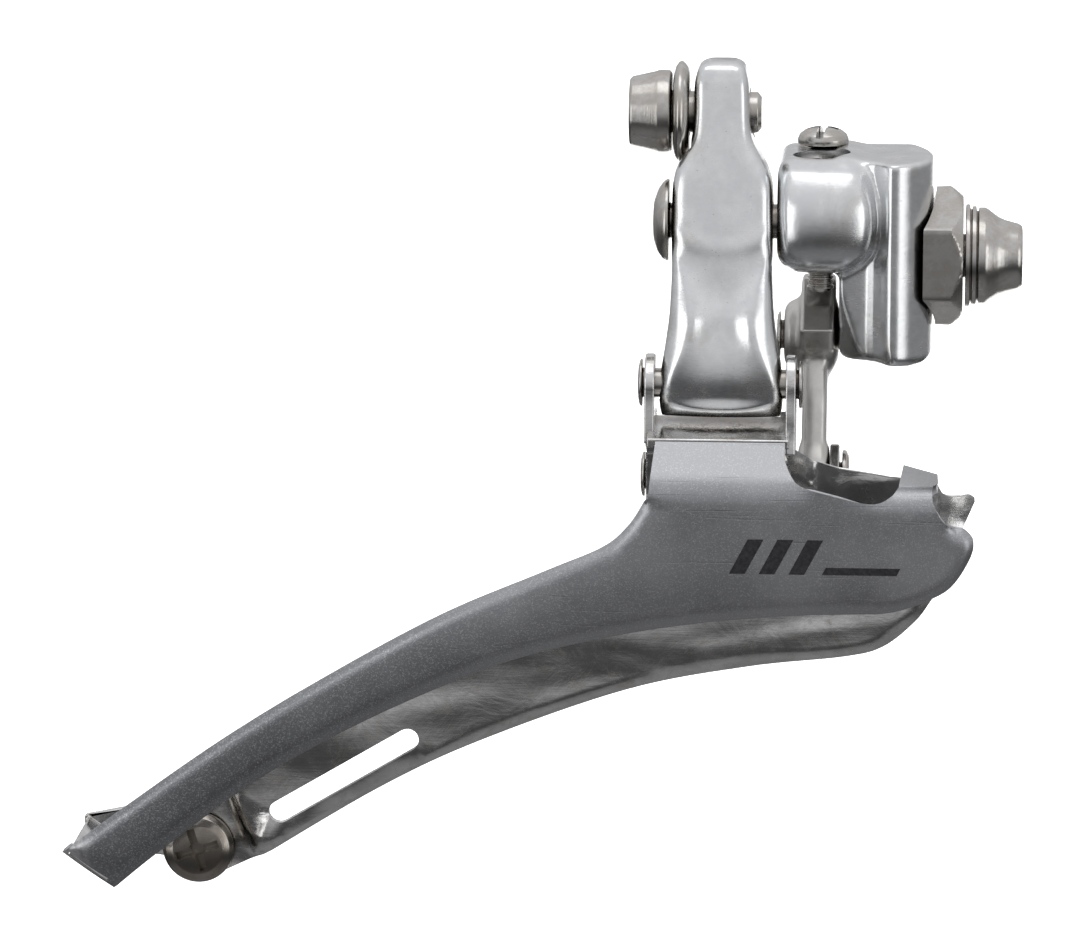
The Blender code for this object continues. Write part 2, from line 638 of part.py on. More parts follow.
def make_outer_plate():
    """Painted outer cage plate with its tail wrapped behind the inner plate."""
    outline = [(-15.6, BAND_TOP), (-29.6, BAND_TOP)] + UPPER_EDGE + LOWER_EDGE + NOSE[1:]
    outline += [(0.4, -19.6), (0.95, -18.3), (0.85, -13.3), (-2.9, TAB_TOP)] + WINDOW
    plate = add_object("outer_cage_plate",
                       sheet_metal(outline, [], outer_plate_point, SHEET, 2.6), PAINT)
    along = (Vector(TAIL_HEEL) - Vector(TAIL_TIP)).normalized()
    into = Vector((-along.y, along.x))
    top = Vector(TAIL_TIP) + along * 0.6 + into * 0.3
    heel = Vector(TAIL_HEEL) - along + into * 0.3
    wall = [tuple(top), tuple(heel), tuple(heel + into * SHEET), tuple(top + into * SHEET)]
    back = INNER_FACE + SHEET + TAIL_STEP + GAP
    boolean(plate, cutter("tail_wall", prism(wall, TAIL_FACE + 1.2, back + SHEET, along_y)),
            "UNION")
    tab = [wall[0], (-94.2, -63.8), (-89.3, -62.8), (-80.2, -61.4), (-77.6, -63.2),
           (-77.4, -67.6), (-79.4, -70.0), (-82.4, -70.0), (-84.8, -68.4), wall[1]]
    boolean(plate, cutter("tail_tab", prism(tab, back, back + SHEET, along_y)), "UNION")
    boolean(plate, cutter("tail_thread", tail_hole()))
    return plate


def tail_hole():
    """The hole that the tail screw passes through."""
    hole = turned_x([(-15.0, TAIL_HOLE_RADIUS), (0.0, TAIL_HOLE_RADIUS)], 0.0, 0.0, 16)
    return face_out(hole, *TAIL_SCREW)


INNER_LOWER = smooth([(1.4, -35.2), (0.2, -37.2), (-1.5, -39.5), (-4.9, -42.3), (-9.2, -43.5),
                      (-19.8, -44.8), (-33.1, -47.6), (-49.4, -53.7), (-60.7, -59.3),
                      (-73.8, -67.4)], 3)


def inner_plate_point(s, t):
    """The inner plate's outboard face: facets towards the right ear, step and rolled rim below."""
    facets = 0.9 * min(1.0, max(0.0, (-s - 9.7) / 3.1))
    facets += 3.2 * max(0.0, min(-s, 15.3) - 12.8) / 2.5
    y = INNER_FACE - facets * ease(t, -27.0, -22.5) * ease(s, -17.2, -15.3)
    past_step = -s - 74.7 - 0.41 * (t + 66.7)
    y += TAIL_STEP * ease(past_step, -1.3, 1.0)
    y += 1.6 * ease(s, -1.0, 4.9) * ease(t, -36.0, -30.0)
    return (s, y + lip(distance_to(INNER_LOWER, s, t), EDGE_ROLL), t)


def make_inner_plate():
    """Chromed inner cage plate with the web, the two front ears and the lower pivot's ears."""
    top = [(-30.6, -18.4), (-30.6, -27.5), (-36.0, -33.5), (-42.0, -36.8)]
    upper = smooth([(-42.0, -36.8), (-53.0, -41.8), (-66.0, -48.8), (-79.0, -58.0),
                    (-84.0, -61.6)], 3)
    flange = arc(TAIL_SCREW, 4.2, 150.0, 270.0, 6)
    lower = list(reversed(INNER_LOWER))
    front = [(2.0, -32.5), (3.6, -29.0), (4.95, -25.9), (4.9, -25.4)]
    front += smooth([(4.4, -25.1), (3.4, -25.25), (2.3, -25.15), (1.4, -24.7), (0.7, -23.4)], 2)
    front += [(-4.3, -23.1), (-9.7, -22.2), (-12.8, -21.1), (-15.2, -18.9)]
    outline = top + upper[1:] + flange + lower + front
    slot = slot_outline((-71.7, -62.0), (-57.4, -53.5), 1.25)
    creases = [[(s, top_t - drop) for drop in (0.0, 1.5, 3.0, 4.5, 6.0)]
               for s, top_t in ((-9.7, -22.8), (-12.8, -21.7), (-15.3, -20.0), (-17.3, -20.0))]
    plate = add_object("inner_cage_plate",
                       sheet_metal(outline, [slot], inner_plate_point, SHEET, 2.6, creases),
                       CHROMED)
    web = [(WEB_EDGE, WEB_TOP - SHEET), (WEB_EDGE, WEB_TOP), (INNER_FACE + 0.6, WEB_TOP + 1.1),
           (INNER_FACE + 0.8, WEB_TOP - 1.4), (INNER_FACE + 0.2, WEB_TOP - 0.9)]
    boolean(plate, cutter("web_shape", prism(web, -30.6, -15.2, along_x)), "UNION")
    boolean(plate, cutter("left_ear_shape", prism(left_ear_outline(), *LEFT_EAR, along_x)), "UNION")
    boolean(plate, cutter("right_ear_shape", prism(right_ear_outline(), *RIGHT_EAR, along_x)),
            "UNION")
    y, z = PIVOT_4
    rear = [(INNER_FACE + 0.2, z - 2.6), (y, z - REAR_EAR_RADIUS)]
    rear += arc((y, z), REAR_EAR_RADIUS, -60.0, 90.0, 8) + [(INNER_FACE + 0.2, z + 1.3)]
    boolean(plate, cutter("rear_ear_shape", prism(rear, *REAR_EAR, along_x)), "UNION")
    bore = PIN_RADIUS + 0.15
    for name, pivot in (("ear_pivot_2_hole", PIVOT_2), ("ear_pivot_4_hole", PIVOT_4)):
        boolean(plate, cutter(name, turned_x([(-40.0, bore), (-5.0, bore)], *pivot)))
    boolean(plate, cutter("flange_hole", tail_hole()))
    return plate


def slot_outline(start, end, radius):
    angle = math.degrees(math.atan2(end[1] - start[1], end[0] - start[0]))
    return arc(end, radius, angle - 90.0, angle + 90.0, 6) + \
        arc(start, radius, angle + 90.0, angle + 270.0, 6)


def left_ear_outline():
    y2, z2 = PIVOT_2
    y4, z4 = PIVOT_4
    outline = arc((y2, z2), EAR_RADIUS, 60.0, 190.0, 6) + [(-14.6, WEB_TOP - SHEET)]
    outline += [(-10.0, WEB_TOP - 3.0), (-9.3, z4 - 2.0)]
    outline += arc((y4, z4), EAR_RADIUS, 240.0, 390.0, 7)
    return outline


def right_ear_outline():
    y2, z2 = PIVOT_2
    outline = arc((y2, z2), EAR_RADIUS, 10.0, 190.0, 8)
    outline += [(-14.6, WEB_TOP - 2.2), (-12.0, WEB_TOP - 2.6), (-9.0, WEB_TOP - 1.0)]
    return outline


def make_tail_screw():
    """Pan-head cross-recessed screw that closes the tail of the cage, facing outboard."""
    face = INNER_FACE + TAIL_STEP - GAP
    back = face + 5.2
    stations = [(back, 1.2), (back - 0.4, 1.5), (face, 1.5), (face, 4.0), (face - 1.1, 4.0),
                (face - 1.8, 3.4), (face - 2.15, 2.4)]
    screw = add_object("tail_screw", face_out(turned_x(stations, 0.0, 0.0), *TAIL_SCREW), STEEL,
                       (TAIL_SCREW[0], face, TAIL_SCREW[1]))
    for part, turn in (("recess_a", RECESS_TURN), ("recess_b", RECESS_TURN + 90.0)):
        outline = bar_outline(TAIL_SCREW, 2.4, 0.5, turn)
        boolean(screw, cutter("tail_" + part, prism(outline, face - 4.0, face - 0.9, along_y)))
    return screw


def main():
    clear_scene()
    make_body()
    make_limit_screw("high_limit_screw", NEAR_SCREW_Y, NEAR_HEAD_Z, NEAR_TIP_Z)
    make_limit_screw("low_limit_screw", FAR_SCREW_Y, BODY_TOP + GAP, FAR_TIP_Z)
    make_radius_washer()
    make_washer("flat_washer", 3.55, 4.05, 5.7)
    make_washer("lock_washer", 4.25, 4.75, 5.5)
    make_clamp_bolt()
    make_outer_link()
    make_inner_link()
    make_pins()
    make_spring()
    make_cable_clamp()
    make_outer_plate()
    make_inner_plate()
    make_tail_screw()


main()
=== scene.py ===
import json
import math

import bpy
import bmesh
import numpy as np
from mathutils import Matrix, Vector
from mathutils.geometry import delaunay_2d_cdt


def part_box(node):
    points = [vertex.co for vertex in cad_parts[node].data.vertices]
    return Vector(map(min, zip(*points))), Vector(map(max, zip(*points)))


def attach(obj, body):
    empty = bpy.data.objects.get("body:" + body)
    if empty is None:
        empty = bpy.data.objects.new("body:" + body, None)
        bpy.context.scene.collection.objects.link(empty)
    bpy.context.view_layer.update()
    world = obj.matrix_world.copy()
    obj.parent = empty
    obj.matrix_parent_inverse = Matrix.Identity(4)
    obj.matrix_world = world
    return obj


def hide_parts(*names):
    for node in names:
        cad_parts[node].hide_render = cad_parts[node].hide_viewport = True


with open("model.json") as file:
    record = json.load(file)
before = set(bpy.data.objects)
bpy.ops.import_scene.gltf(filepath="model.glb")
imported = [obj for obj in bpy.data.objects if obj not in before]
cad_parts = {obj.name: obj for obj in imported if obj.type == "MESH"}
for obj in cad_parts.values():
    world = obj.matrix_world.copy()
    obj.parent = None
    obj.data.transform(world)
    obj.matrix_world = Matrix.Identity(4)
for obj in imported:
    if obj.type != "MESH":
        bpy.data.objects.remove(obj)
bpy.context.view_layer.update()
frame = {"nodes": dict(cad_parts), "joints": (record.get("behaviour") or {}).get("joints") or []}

# Lengths below are millimetres, turned into metres when a mesh is made.
MM = 0.001
FINE = 96                      # sides of a turned piece


def pivot(joint_name):
    """(Y, Z) of a hinge, in millimetres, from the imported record."""
    for joint in frame["joints"]:
        if joint["name"] == joint_name:
            return (joint["pos_m"][1] / MM, joint["pos_m"][2] / MM)
    raise ValueError(joint_name)


def box_mm(node):
    """A CAD node's lowest and highest corner, in millimetres."""
    low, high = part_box(node)
    return low / MM, high / MM


def centre_mm(node):
    low, high = box_mm(node)
    return (low + high) / 2.0


PIVOT_1 = pivot("outer_link_swing")
PIVOT_2 = pivot("cage_pivot")
PIVOT_3 = pivot("inner_link_swing")
LOWER_PIN = centre_mm("inner_link_lower_pin")
PIVOT_4 = (LOWER_PIN.y, LOWER_PIN.z)


# ---------------------------------------------------------------- mesh helpers

def shade(mesh, angle):
    """Smooth shading, except across edges sharper than the angle in degrees."""
    mesh.shade_smooth()
    mesh.set_sharp_from_angle(angle=math.radians(angle))


def new_object(name, made):
    """Turn a bmesh in millimetres into an object, with its faces pointing out."""
    bmesh.ops.recalc_face_normals(made, faces=made.faces)
    for vertex in made.verts:
        vertex.co = vertex.co * MM
    mesh = bpy.data.meshes.new(name)
    made.to_mesh(mesh)
    made.free()
    piece = bpy.data.objects.new(name, mesh)
    bpy.context.scene.collection.objects.link(piece)
    return piece


def finish_object(name, made, look, body, angle=32.0, node=None):
    """Turn a bmesh in millimetres into a piece that rides on a body."""
    piece = new_object(name, made)
    shade(piece.data, angle)
    piece.data.materials.append(look)
    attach(piece, body)
    if node:
        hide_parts(node)
    return piece


def bridge_rings(rings, closed_ends=True):
    """A skin from ring to ring, with a face over each end."""
    made = bmesh.new()
    loops = [[made.verts.new(point) for point in ring] for ring in rings]
    count = len(rings[0])
    for first, second in zip(loops, loops[1:]):
        for index in range(count):
            after = (index + 1) % count
            made.faces.new((first[index], first[after], second[after], second[index]))
    if closed_ends:
        made.faces.new(loops[0])
        made.faces.new(reversed(loops[-1]))
    return made


def closed_loop(rings):
    """A skin without ends: the last ring leads back to the first."""
    made = bridge_rings(rings + [rings[0]], closed_ends=False)
    bmesh.ops.remove_doubles(made, verts=made.verts, dist=1.0e-5)
    return made


def turns(count):
    """Evenly spaced angles, once round."""
    return [2.0 * math.pi * index / count for index in range(count)]


def circle_x(x, radius, y, z, count=FINE):
    return [(x, y + radius * math.sin(turn), z + radius * math.cos(turn))
            for turn in turns(count)]


def hexagon_x(x, across_flats, y, z, count=FINE):
    """A hexagon with two corners along Z, with as many points as a circle."""
    points = []
    for turn in turns(count):
        offset = turn % (math.pi / 3.0) - math.pi / 6.0
        radius = across_flats / 2.0 / math.cos(offset)
        points.append((x, y + radius * math.sin(turn), z + radius * math.cos(turn)))
    return points


def rounded_profile(stations, radius=0.18, steps=3):
    """Round the corners of an (x, r) profile."""
    rounded = [stations[0]]
    for before, here, after in zip(stations, stations[1:], stations[2:]):
        into = Vector(here) - Vector(before)
        away = Vector(after) - Vector(here)
        cut = min(radius, into.length * 0.45, away.length * 0.45)
        if cut < 1.0e-4 or into.angle(away, 0.0) < 0.15:
            rounded.append(here)
            continue
        start = Vector(here) - into.normalized() * cut
        end = Vector(here) + away.normalized() * cut
        for index in range(steps + 1):
            t = index / steps
            point = start * (1 - t) ** 2 + Vector(here) * 2 * t * (1 - t) + end * t * t
            rounded.append(tuple(point))
    rounded.append(stations[-1])
    return rounded


def turned_rings(stations, y, z, radius=0.18):
    return [circle_x(x, r, y, z) for x, r in rounded_profile(stations, radius)]


def turned(stations, y, z, radius=0.18):
    """A turned solid along X with its corners rounded."""
    return bridge_rings(turned_rings(stations, y, z, radius))


def bore(piece, start, end, radius, axis):
    """Drill a round hole along X, from start to end, about an axis given as (Y, Z)."""
    cut_with(piece, turned([(start, radius), (end, radius)], *axis))


def upright(stations, x, y, radius=0.18):
    """A turned solid that runs along Z through (x, y)."""
    made = turned(stations, 0.0, 0.0, radius)
    for vertex in made.verts:
        along, side, other = vertex.co
        vertex.co = Vector((x + other, y + side, along))
    return made


def crosswise(stations, x, z, radius=0.18):
    """A turned solid that runs along Y through (x, z)."""
    made = turned(stations, 0.0, 0.0, radius)
    for vertex in made.verts:
        along, side, other = vertex.co
        vertex.co = Vector((x + side, along, z + other))
    return made


def prism(outline, low, high, axis):
    """A solid with a flat outline, from low to high along one axis."""
    at = "XYZ".index(axis)
    return bridge_rings([[(*point[:at], level, *point[at:]) for point in outline]
                         for level in (low, high)])


def arc(centre, radius, start, end, steps):
    points = []
    for index in range(steps + 1):
        turn = math.radians(start + (end - start) * index / steps)
        points.append((centre[0] + radius * math.cos(turn),
                       centre[1] + radius * math.sin(turn)))
    return points


def smooth(points, steps=8):
    """A smooth open curve through the given points."""
    curve = []
    padded = [points[0]] + list(points) + [points[-1]]
    for before, start, end, after in zip(padded, padded[1:], padded[2:], padded[3:]):
        for index in range(steps):
            t = index / steps
            curve.append(tuple(
                0.5 * (2 * b + (c - a) * t + (2 * a - 5 * b + 4 * c - d) * t * t
                       + (3 * b - a - 3 * c + d) * t ** 3)
                for a, b, c, d in zip(before, start, end, after)))
    curve.append(tuple(points[-1]))
    return curve


def ease(value, start, end):
    t = min(1.0, max(0.0, (value - start) / (end - start)))
    return t * t * (3.0 - 2.0 * t)


def bake_modifiers(piece):
    """Apply every modifier of a piece to its mesh."""
    bpy.context.view_layer.update()
    graph = bpy.context.evaluated_depsgraph_get()
    baked = bpy.data.meshes.new_from_object(piece.evaluated_get(graph))
    looks = [slot.material for slot in piece.material_slots]
    piece.modifiers.clear()
    piece.data = baked
    if not baked.materials:
        for look in looks:
            baked.materials.append(look)


def cut_with(piece, tool_mesh, operation="DIFFERENCE"):
    """Apply a Boolean to a piece at once, and drop the tool."""
    tool = new_object("tool", tool_mesh)
    change = piece.modifiers.new("cut", "BOOLEAN")
    change.operation = operation
    change.object = tool
    change.solver = "EXACT"
    bake_modifiers(piece)
    bpy.data.objects.remove(tool)


def relax(piece, rounds):
    """Even out a surface made of small facets."""
    change = piece.modifiers.new("relax", "SMOOTH")
    change.factor = 0.5
    change.iterations = rounds
    bake_modifiers(piece)


def soften(piece, width, segments=3, angle=30.0):
    """Round the sharp edges of a piece."""
    change = piece.modifiers.new("soften", "BEVEL")
    change.width = width * MM
    change.segments = segments
    change.limit_method = "ANGLE"
    change.angle_limit = math.radians(angle)
    change.harden_normals = True


def both(a, b, radius):
    """Distance field of what two fields share, with the edge between them rounded."""
    near_a = np.maximum(a + radius, 0.0)
    near_b = np.maximum(b + radius, 0.0)
    return np.minimum(np.maximum(a, b), -radius) + np.hypot(near_a, near_b)


def either(a, b, radius):
    """Distance field of two fields together, with the corner between them filleted."""
    near_a = np.maximum(radius - a, 0.0)
    near_b = np.maximum(radius - b, 0.0)
    return np.maximum(np.minimum(a, b), radius) - np.hypot(near_a, near_b)


def grid(low, high, step):
    """Coordinates of a block of points that covers a box, each as a 3-D array."""
    axes = [np.arange(a - 2.0 * step, b + 2.5 * step, step) for a, b in zip(low, high)]
    return np.meshgrid(*axes, indexing="ij")


def skin(field, x, y, z):
    """Wrap a mesh of small quads round the part of a grid where the field is negative."""
    low = np.array([x[0, 0, 0], y[0, 0, 0], z[0, 0, 0]])
    step = x[1, 0, 0] - x[0, 0, 0]
    cells = tuple(size - 1 for size in field.shape)
    total = np.zeros(cells + (3,))
    count = np.zeros(cells)
    corner = np.stack(np.indices(cells), axis=-1)
    for axis in range(3):
        others = [other for other in range(3) if other != axis]
        for shift in ((0, 0), (0, 1), (1, 0), (1, 1)):
            start = [0, 0, 0]
            start[others[0]], start[others[1]] = shift
            end = list(start)
            end[axis] = 1
            a = field[tuple(slice(s, s + n) for s, n in zip(start, cells))]
            b = field[tuple(slice(s, s + n) for s, n in zip(end, cells))]
            crossed = (a < 0.0) != (b < 0.0)
            share = np.where(crossed, a / np.where(crossed, a - b, 1.0), 0.0)
            point = (corner + np.array(start)).astype(float)
            point[..., axis] += share
            total += point * crossed[..., None]
            count += crossed
    used = count > 0
    number = np.full(cells, -1)
    number[used] = np.arange(used.sum())
    points = low + step * total[used] / count[used][:, None]
    made = bmesh.new()
    verts = [made.verts.new(point) for point in points.tolist()]
    for axis in range(3):
        u, v = [other for other in range(3) if other != axis]
        first = [slice(1, -1)] * 3
        first[axis] = slice(0, -1)
        second = [slice(1, -1)] * 3
        second[axis] = slice(1, None)
        crossed = (field[tuple(first)] < 0.0) != (field[tuple(second)] < 0.0)
        for place in np.argwhere(crossed):
            place = place + 1
            place[axis] -= 1
            around = []
            for back_u, back_v in ((1, 1), (0, 1), (0, 0), (1, 0)):
                cell = place.copy()
                cell[u] -= back_u
                cell[v] -= back_v
                around.append(verts[number[tuple(cell)]])
            made.faces.new(around)
    return made


def side_of(x, y, z, first, second, third):
    """Distance from the plane through three points, positive on its near side."""
    origin = Vector(first)
    outward = (Vector(second) - origin).cross(Vector(third) - origin).normalized()
    if outward.y > 0.0:
        outward = -outward
    return (x - origin.x) * outward.x + (y - origin.y) * outward.y + (z - origin.z) * outward.z


# ---------------------------------------------------------------- sheet metal

# A sheet is cut from a flat pattern in (s, t), which are X and Z, and pressed with place(s, t).
SHEET = 1.0
SHEET_STEP = 0.9
EDGE_BULGE = 0.22               # how far a cut edge is rounded out
EDGE_STEPS = 5
RIM_ROWS = (0.12, 0.35, 0.8, 1.3, 1.75, 2.4)    # rows of points round the rim of a plate


def distance_to(points, s, t):
    """Distance from a point of the pattern to an open chain of points."""
    best = math.inf
    for (ax, ay), (bx, by) in zip(points, points[1:]):
        dx = bx - ax
        dy = by - ay
        share = ((s - ax) * dx + (t - ay) * dy) / (dx * dx + dy * dy)
        share = min(1.0, max(0.0, share))
        best = min(best, math.hypot(s - ax - share * dx, t - ay - share * dy))
    return best


def inside(outline, s, t):
    """Whether a point of the pattern lies in a closed outline."""
    hit = False
    for (ax, ay), (bx, by) in zip(outline, outline[1:] + outline[:1]):
        if (ay > t) != (by > t) and s < (bx - ax) * (t - ay) / (by - ay) + ax:
            hit = not hit
    return hit


def resample(points, step):
    """Points an even step apart round a closed chain; the given points stay."""
    result = []
    for (ax, ay), (bx, by) in zip(points, points[1:] + points[:1]):
        parts = max(1, round(math.hypot(bx - ax, by - ay) / step))
        for index in range(parts):
            t = index / parts
            result.append((ax + (bx - ax) * t, ay + (by - ay) * t))
    return result


def inset_row(outline, depth, spacing):
    """Points that follow a closed outline at a small depth inside it."""
    row = []
    area = sum(a[0] * b[1] - b[0] * a[1] for a, b in zip(outline, outline[1:] + outline[:1]))
    turn = 1.0 if area > 0.0 else -1.0
    for before, here, after in zip(outline[-1:] + outline, outline, outline[1:] + outline[:1]):
        along = (Vector(after) - Vector(before)).normalized()
        point = Vector(here) + Vector((-along.y, along.x)) * turn * depth
        if not row or (point - row[-1]).length >= spacing:
            row.append(point)
    return row


def sheet_metal(outline, holes, place, step):
    """Cut a flat pattern from sheet, press it with place(s, t), and round its cut edges."""
    outline = resample(outline, step)
    holes = [resample(hole, step * 0.6) for hole in holes]
    walls = [outline + outline[:1]] + [hole + hole[:1] for hole in holes]

    def in_sheet(s, t):
        return inside(outline, s, t) and not any(inside(hole, s, t) for hole in holes)

    def clearance(s, t):
        return min(distance_to(wall, s, t) for wall in walls)

    flat = []
    edges = []
    for border in [outline] + holes:
        base = len(flat)
        flat += [Vector(point) for point in border]
        edges += [(base + index, base + (index + 1) % len(border))
                  for index in range(len(border))]
    for depth in RIM_ROWS:
        for point in inset_row(outline, depth, step * 0.7):
            if inside(outline, *point) and clearance(*point) > 0.9 * depth:
                flat.append(point)
    low_s, low_t = (min(point[axis] for point in outline) for axis in (0, 1))
    high_s, high_t = (max(point[axis] for point in outline) for axis in (0, 1))
    for row in range(int((high_t - low_t) / step) + 1):
        for column in range(int((high_s - low_s) / step) + 1):
            s = low_s + step * (column + 0.5 * (row % 2))
            t = low_t + step * row
            if in_sheet(s, t) and clearance(s, t) > RIM_ROWS[-1] + 0.5 * step:
                flat.append(Vector((s, t)))
    cut = delaunay_2d_cdt(flat, edges, [], 0, 1.0e-4)
    points, faces = cut[0], cut[2]
    kept = []
    for face in faces:
        s = sum(points[index][0] for index in face) / 3.0
        t = sum(points[index][1] for index in face) / 3.0
        if in_sheet(s, t):
            kept.append(face)
    return thicken([tuple(point) for point in points], kept, place)


def thicken(points, faces, place):
    """Two skins one thickness apart, joined round their rim by a rounded edge."""
    made = bmesh.new()
    outer = []
    inner = []
    normals = []
    tiny = 0.01
    for s, t in points:
        here = Vector(place(s, t))
        along_s = Vector(place(s + tiny, t)) - Vector(place(s - tiny, t))
        along_t = Vector(place(s, t + tiny)) - Vector(place(s, t - tiny))
        inward = along_t.cross(along_s).normalized()
        normals.append(inward)
        outer.append(made.verts.new(here))
        inner.append(made.verts.new(here + inward * SHEET))
    borders = {}
    for face in faces:
        made.faces.new([outer[index] for index in face])
        made.faces.new([inner[index] for index in reversed(face)])
        for first, second in zip(face, face[1:] + face[:1]):
            if (second, first) in borders:
                del borders[(second, first)]
            else:
                borders[(first, second)] = True
    following = {first: second for first, second in borders}
    leading = {second: first for first, second in borders}
    arcs = {}
    for index in following:
        before = outer[leading[index]].co
        after = outer[following[index]].co
        outward = (after - before).cross(normals[index]).normalized()
        middle = (outer[index].co + inner[index].co) / 2.0
        arcs[index] = [outer[index]]
        for step in range(1, EDGE_STEPS):
            turn = math.pi * step / EDGE_STEPS
            point = middle - normals[index] * math.cos(turn) * SHEET / 2.0
            point += outward * math.sin(turn) * EDGE_BULGE
            arcs[index].append(made.verts.new(point))
        arcs[index].append(inner[index])
    for first, second in borders:
        for a, b, c, d in zip(arcs[second], arcs[first], arcs[first][1:], arcs[second][1:]):
            made.faces.new((a, b, c, d))
    loose = [vertex for vertex in made.verts if not vertex.link_faces]
    bmesh.ops.delete(made, geom=loose, context="VERTS")
    return made


def lip(distance, reach):
    """How far a rolled edge stands inboard of its face, this far in from its rim."""
    if distance >= reach:
        return 0.0
    inward = reach - max(distance, 0.06 * reach)
    return reach - math.sqrt(reach * reach - inward * inward)


def bend(over, radius, angle):
    """Height and depth reached by a stretch of sheet that folds round a radius, then runs on."""
    turn = min(over / radius, angle)
    straight = max(0.0, over - radius * angle)
    height = radius * math.sin(turn) + straight * math.cos(angle)
    depth = radius * (1.0 - math.cos(turn)) + straight * math.sin(angle)
    return height, depth


# ---------------------------------------------------------------- materials

class Graph:
    """A small helper that adds shader nodes and joins them."""

    def __init__(self, name, metallic=0.0):
        self.look = bpy.data.materials.new(name)
        self.look.use_nodes = True
        self.tree = self.look.node_tree
        self.shader = self.tree.nodes["Principled BSDF"]
        self.set("Metallic", metallic)

    def add(self, kind, inputs, **settings):
        """A node with its inputs fed by name or by number."""
        node = self.tree.nodes.new(kind)
        for key, value in settings.items():
            setattr(node, key, value)
        for key, value in inputs.items():
            self.feed(node.inputs[key], value)
        return node

    def set(self, socket_name, value):
        self.feed(self.shader.inputs[socket_name], value)

    def feed(self, socket, value):
        """Join another node's output to a socket, or give it a number, a list or a colour."""
        if isinstance(value, bpy.types.NodeSocket):
            self.tree.links.new(value, socket)
        elif isinstance(value, tuple):
            socket.default_value = (*value, 1.0)
        else:
            socket.default_value = value

    def place(self, scale=(1.0, 1.0, 1.0), turn=(0.0, 0.0, 0.0)):
        """Object coordinates in millimetres."""
        coordinates = self.add("ShaderNodeTexCoord", {})
        mapping = self.add("ShaderNodeMapping", {
            "Scale": [value / MM for value in scale],
            "Rotation": [math.radians(angle) for angle in turn],
            "Vector": coordinates.outputs["Object"]})
        return mapping.outputs["Vector"]

    def along(self):
        """How far forward, in millimetres."""
        return self.add("ShaderNodeSeparateXYZ", {"Vector": self.place()}).outputs["X"]

    def noise(self, scale, detail=4.0, rough=0.55, stretch=(1.0, 1.0, 1.0), turn=(0, 0, 0),
              distort=0.0):
        node = self.add("ShaderNodeTexNoise", {
            "Scale": scale, "Detail": detail, "Roughness": rough, "Distortion": distort,
            "Vector": self.place(stretch, turn)})
        return node.outputs["Fac"]

    def cells(self, scale, output="Distance"):
        node = self.add("ShaderNodeTexVoronoi", {"Scale": scale, "Vector": self.place()})
        return node.outputs[output]

    def ramp(self, source, stops):
        node = self.add("ShaderNodeValToRGB", {"Fac": source})
        band = node.color_ramp
        band.interpolation = "EASE"
        while len(band.elements) < len(stops):
            band.elements.new(0.5)
        for element, (position, value) in zip(band.elements, stops):
            element.position = position
            colour = value if isinstance(value, tuple) else (value, value, value)
            element.color = (*colour, 1.0)
        return node.outputs["Color"]

    def mix(self, factor, first, second):
        node = self.add("ShaderNodeMix", {}, data_type="RGBA")
        for socket, value in (("Factor", factor), ("A", first), ("B", second)):
            self.feed(node.inputs[socket], value)
        return node.outputs["Result"]

    def maths(self, operation, first, second):
        node = self.add("ShaderNodeMath", {0: first, 1: second}, operation=operation)
        return node.outputs["Value"]

    def height(self, layers):
        """Sum of (socket, weight) layers as one bump height."""
        total = None
        for source, weight in layers:
            scaled = self.maths("MULTIPLY", source, weight)
            total = scaled if total is None else self.maths("ADD", total, scaled)
        return total

    def bump(self, source, distance, strength=1.0):
        node = self.add("ShaderNodeBump", {"Distance": distance * MM, "Strength": strength,
                                           "Height": source})
        self.set("Normal", node.outputs["Normal"])

    def crevice(self, distance):
        """1 in the open, falling to 0 in corners and gaps."""
        node = self.add("ShaderNodeAmbientOcclusion", {"Distance": distance * MM}, samples=8)
        return node.outputs["AO"]


def polished_aluminium(name, tint, dullness=0.0):
    """Hand-polished forging, worn by use: soft scratches, small pits, painted shade in its corners.
    """
    graph = Graph(name, metallic=1.0)
    cloud = graph.noise(0.35, 5.0, 0.6)
    pits = graph.ramp(graph.cells(1.3), [(0.0, 0.0), (0.10, 1.0), (1.0, 1.0)])
    scuffs = graph.noise(1.2, 3.0, 0.6, (1.0, 1.0, 7.0), (12, 8, 0))
    hairs = graph.noise(3.5, 2.0, 0.7, (0.15, 0.15, 2.5), (60, 25, 0))
    # painted shade: an occlusion mask darkens the colour in corners and gaps
    painted_shade = graph.ramp(graph.crevice(1.4), [(0.15, 0.0), (0.75, 1.0)])
    colour = graph.mix(graph.ramp(cloud, [(0.35, 0.0), (0.7, 1.0)]), *tint)
    stain = graph.ramp(graph.noise(0.16, 6.0, 0.65, distort=0.8), [(0.5, 0.0), (0.74, 0.55)])
    colour = graph.mix(stain, colour, (0.60, 0.575, 0.53))
    colour = graph.mix(pits, (0.38, 0.35, 0.31), colour)
    colour = graph.mix(painted_shade, (0.36, 0.33, 0.29), colour)
    graph.set("Base Color", colour)
    rough = graph.ramp(graph.maths("ADD", graph.maths("MULTIPLY", cloud, 0.6),
                                   graph.maths("MULTIPLY", scuffs, 0.4)),
                       [(0.3, 0.17 + dullness), (0.55, 0.25 + dullness), (0.75, 0.36 + dullness)])
    graph.set("Roughness", rough)
    graph.bump(graph.height([(cloud, 0.6), (scuffs, 0.10), (hairs, 0.05), (pits, 0.25)]),
               0.08, 0.5)
    return graph.look


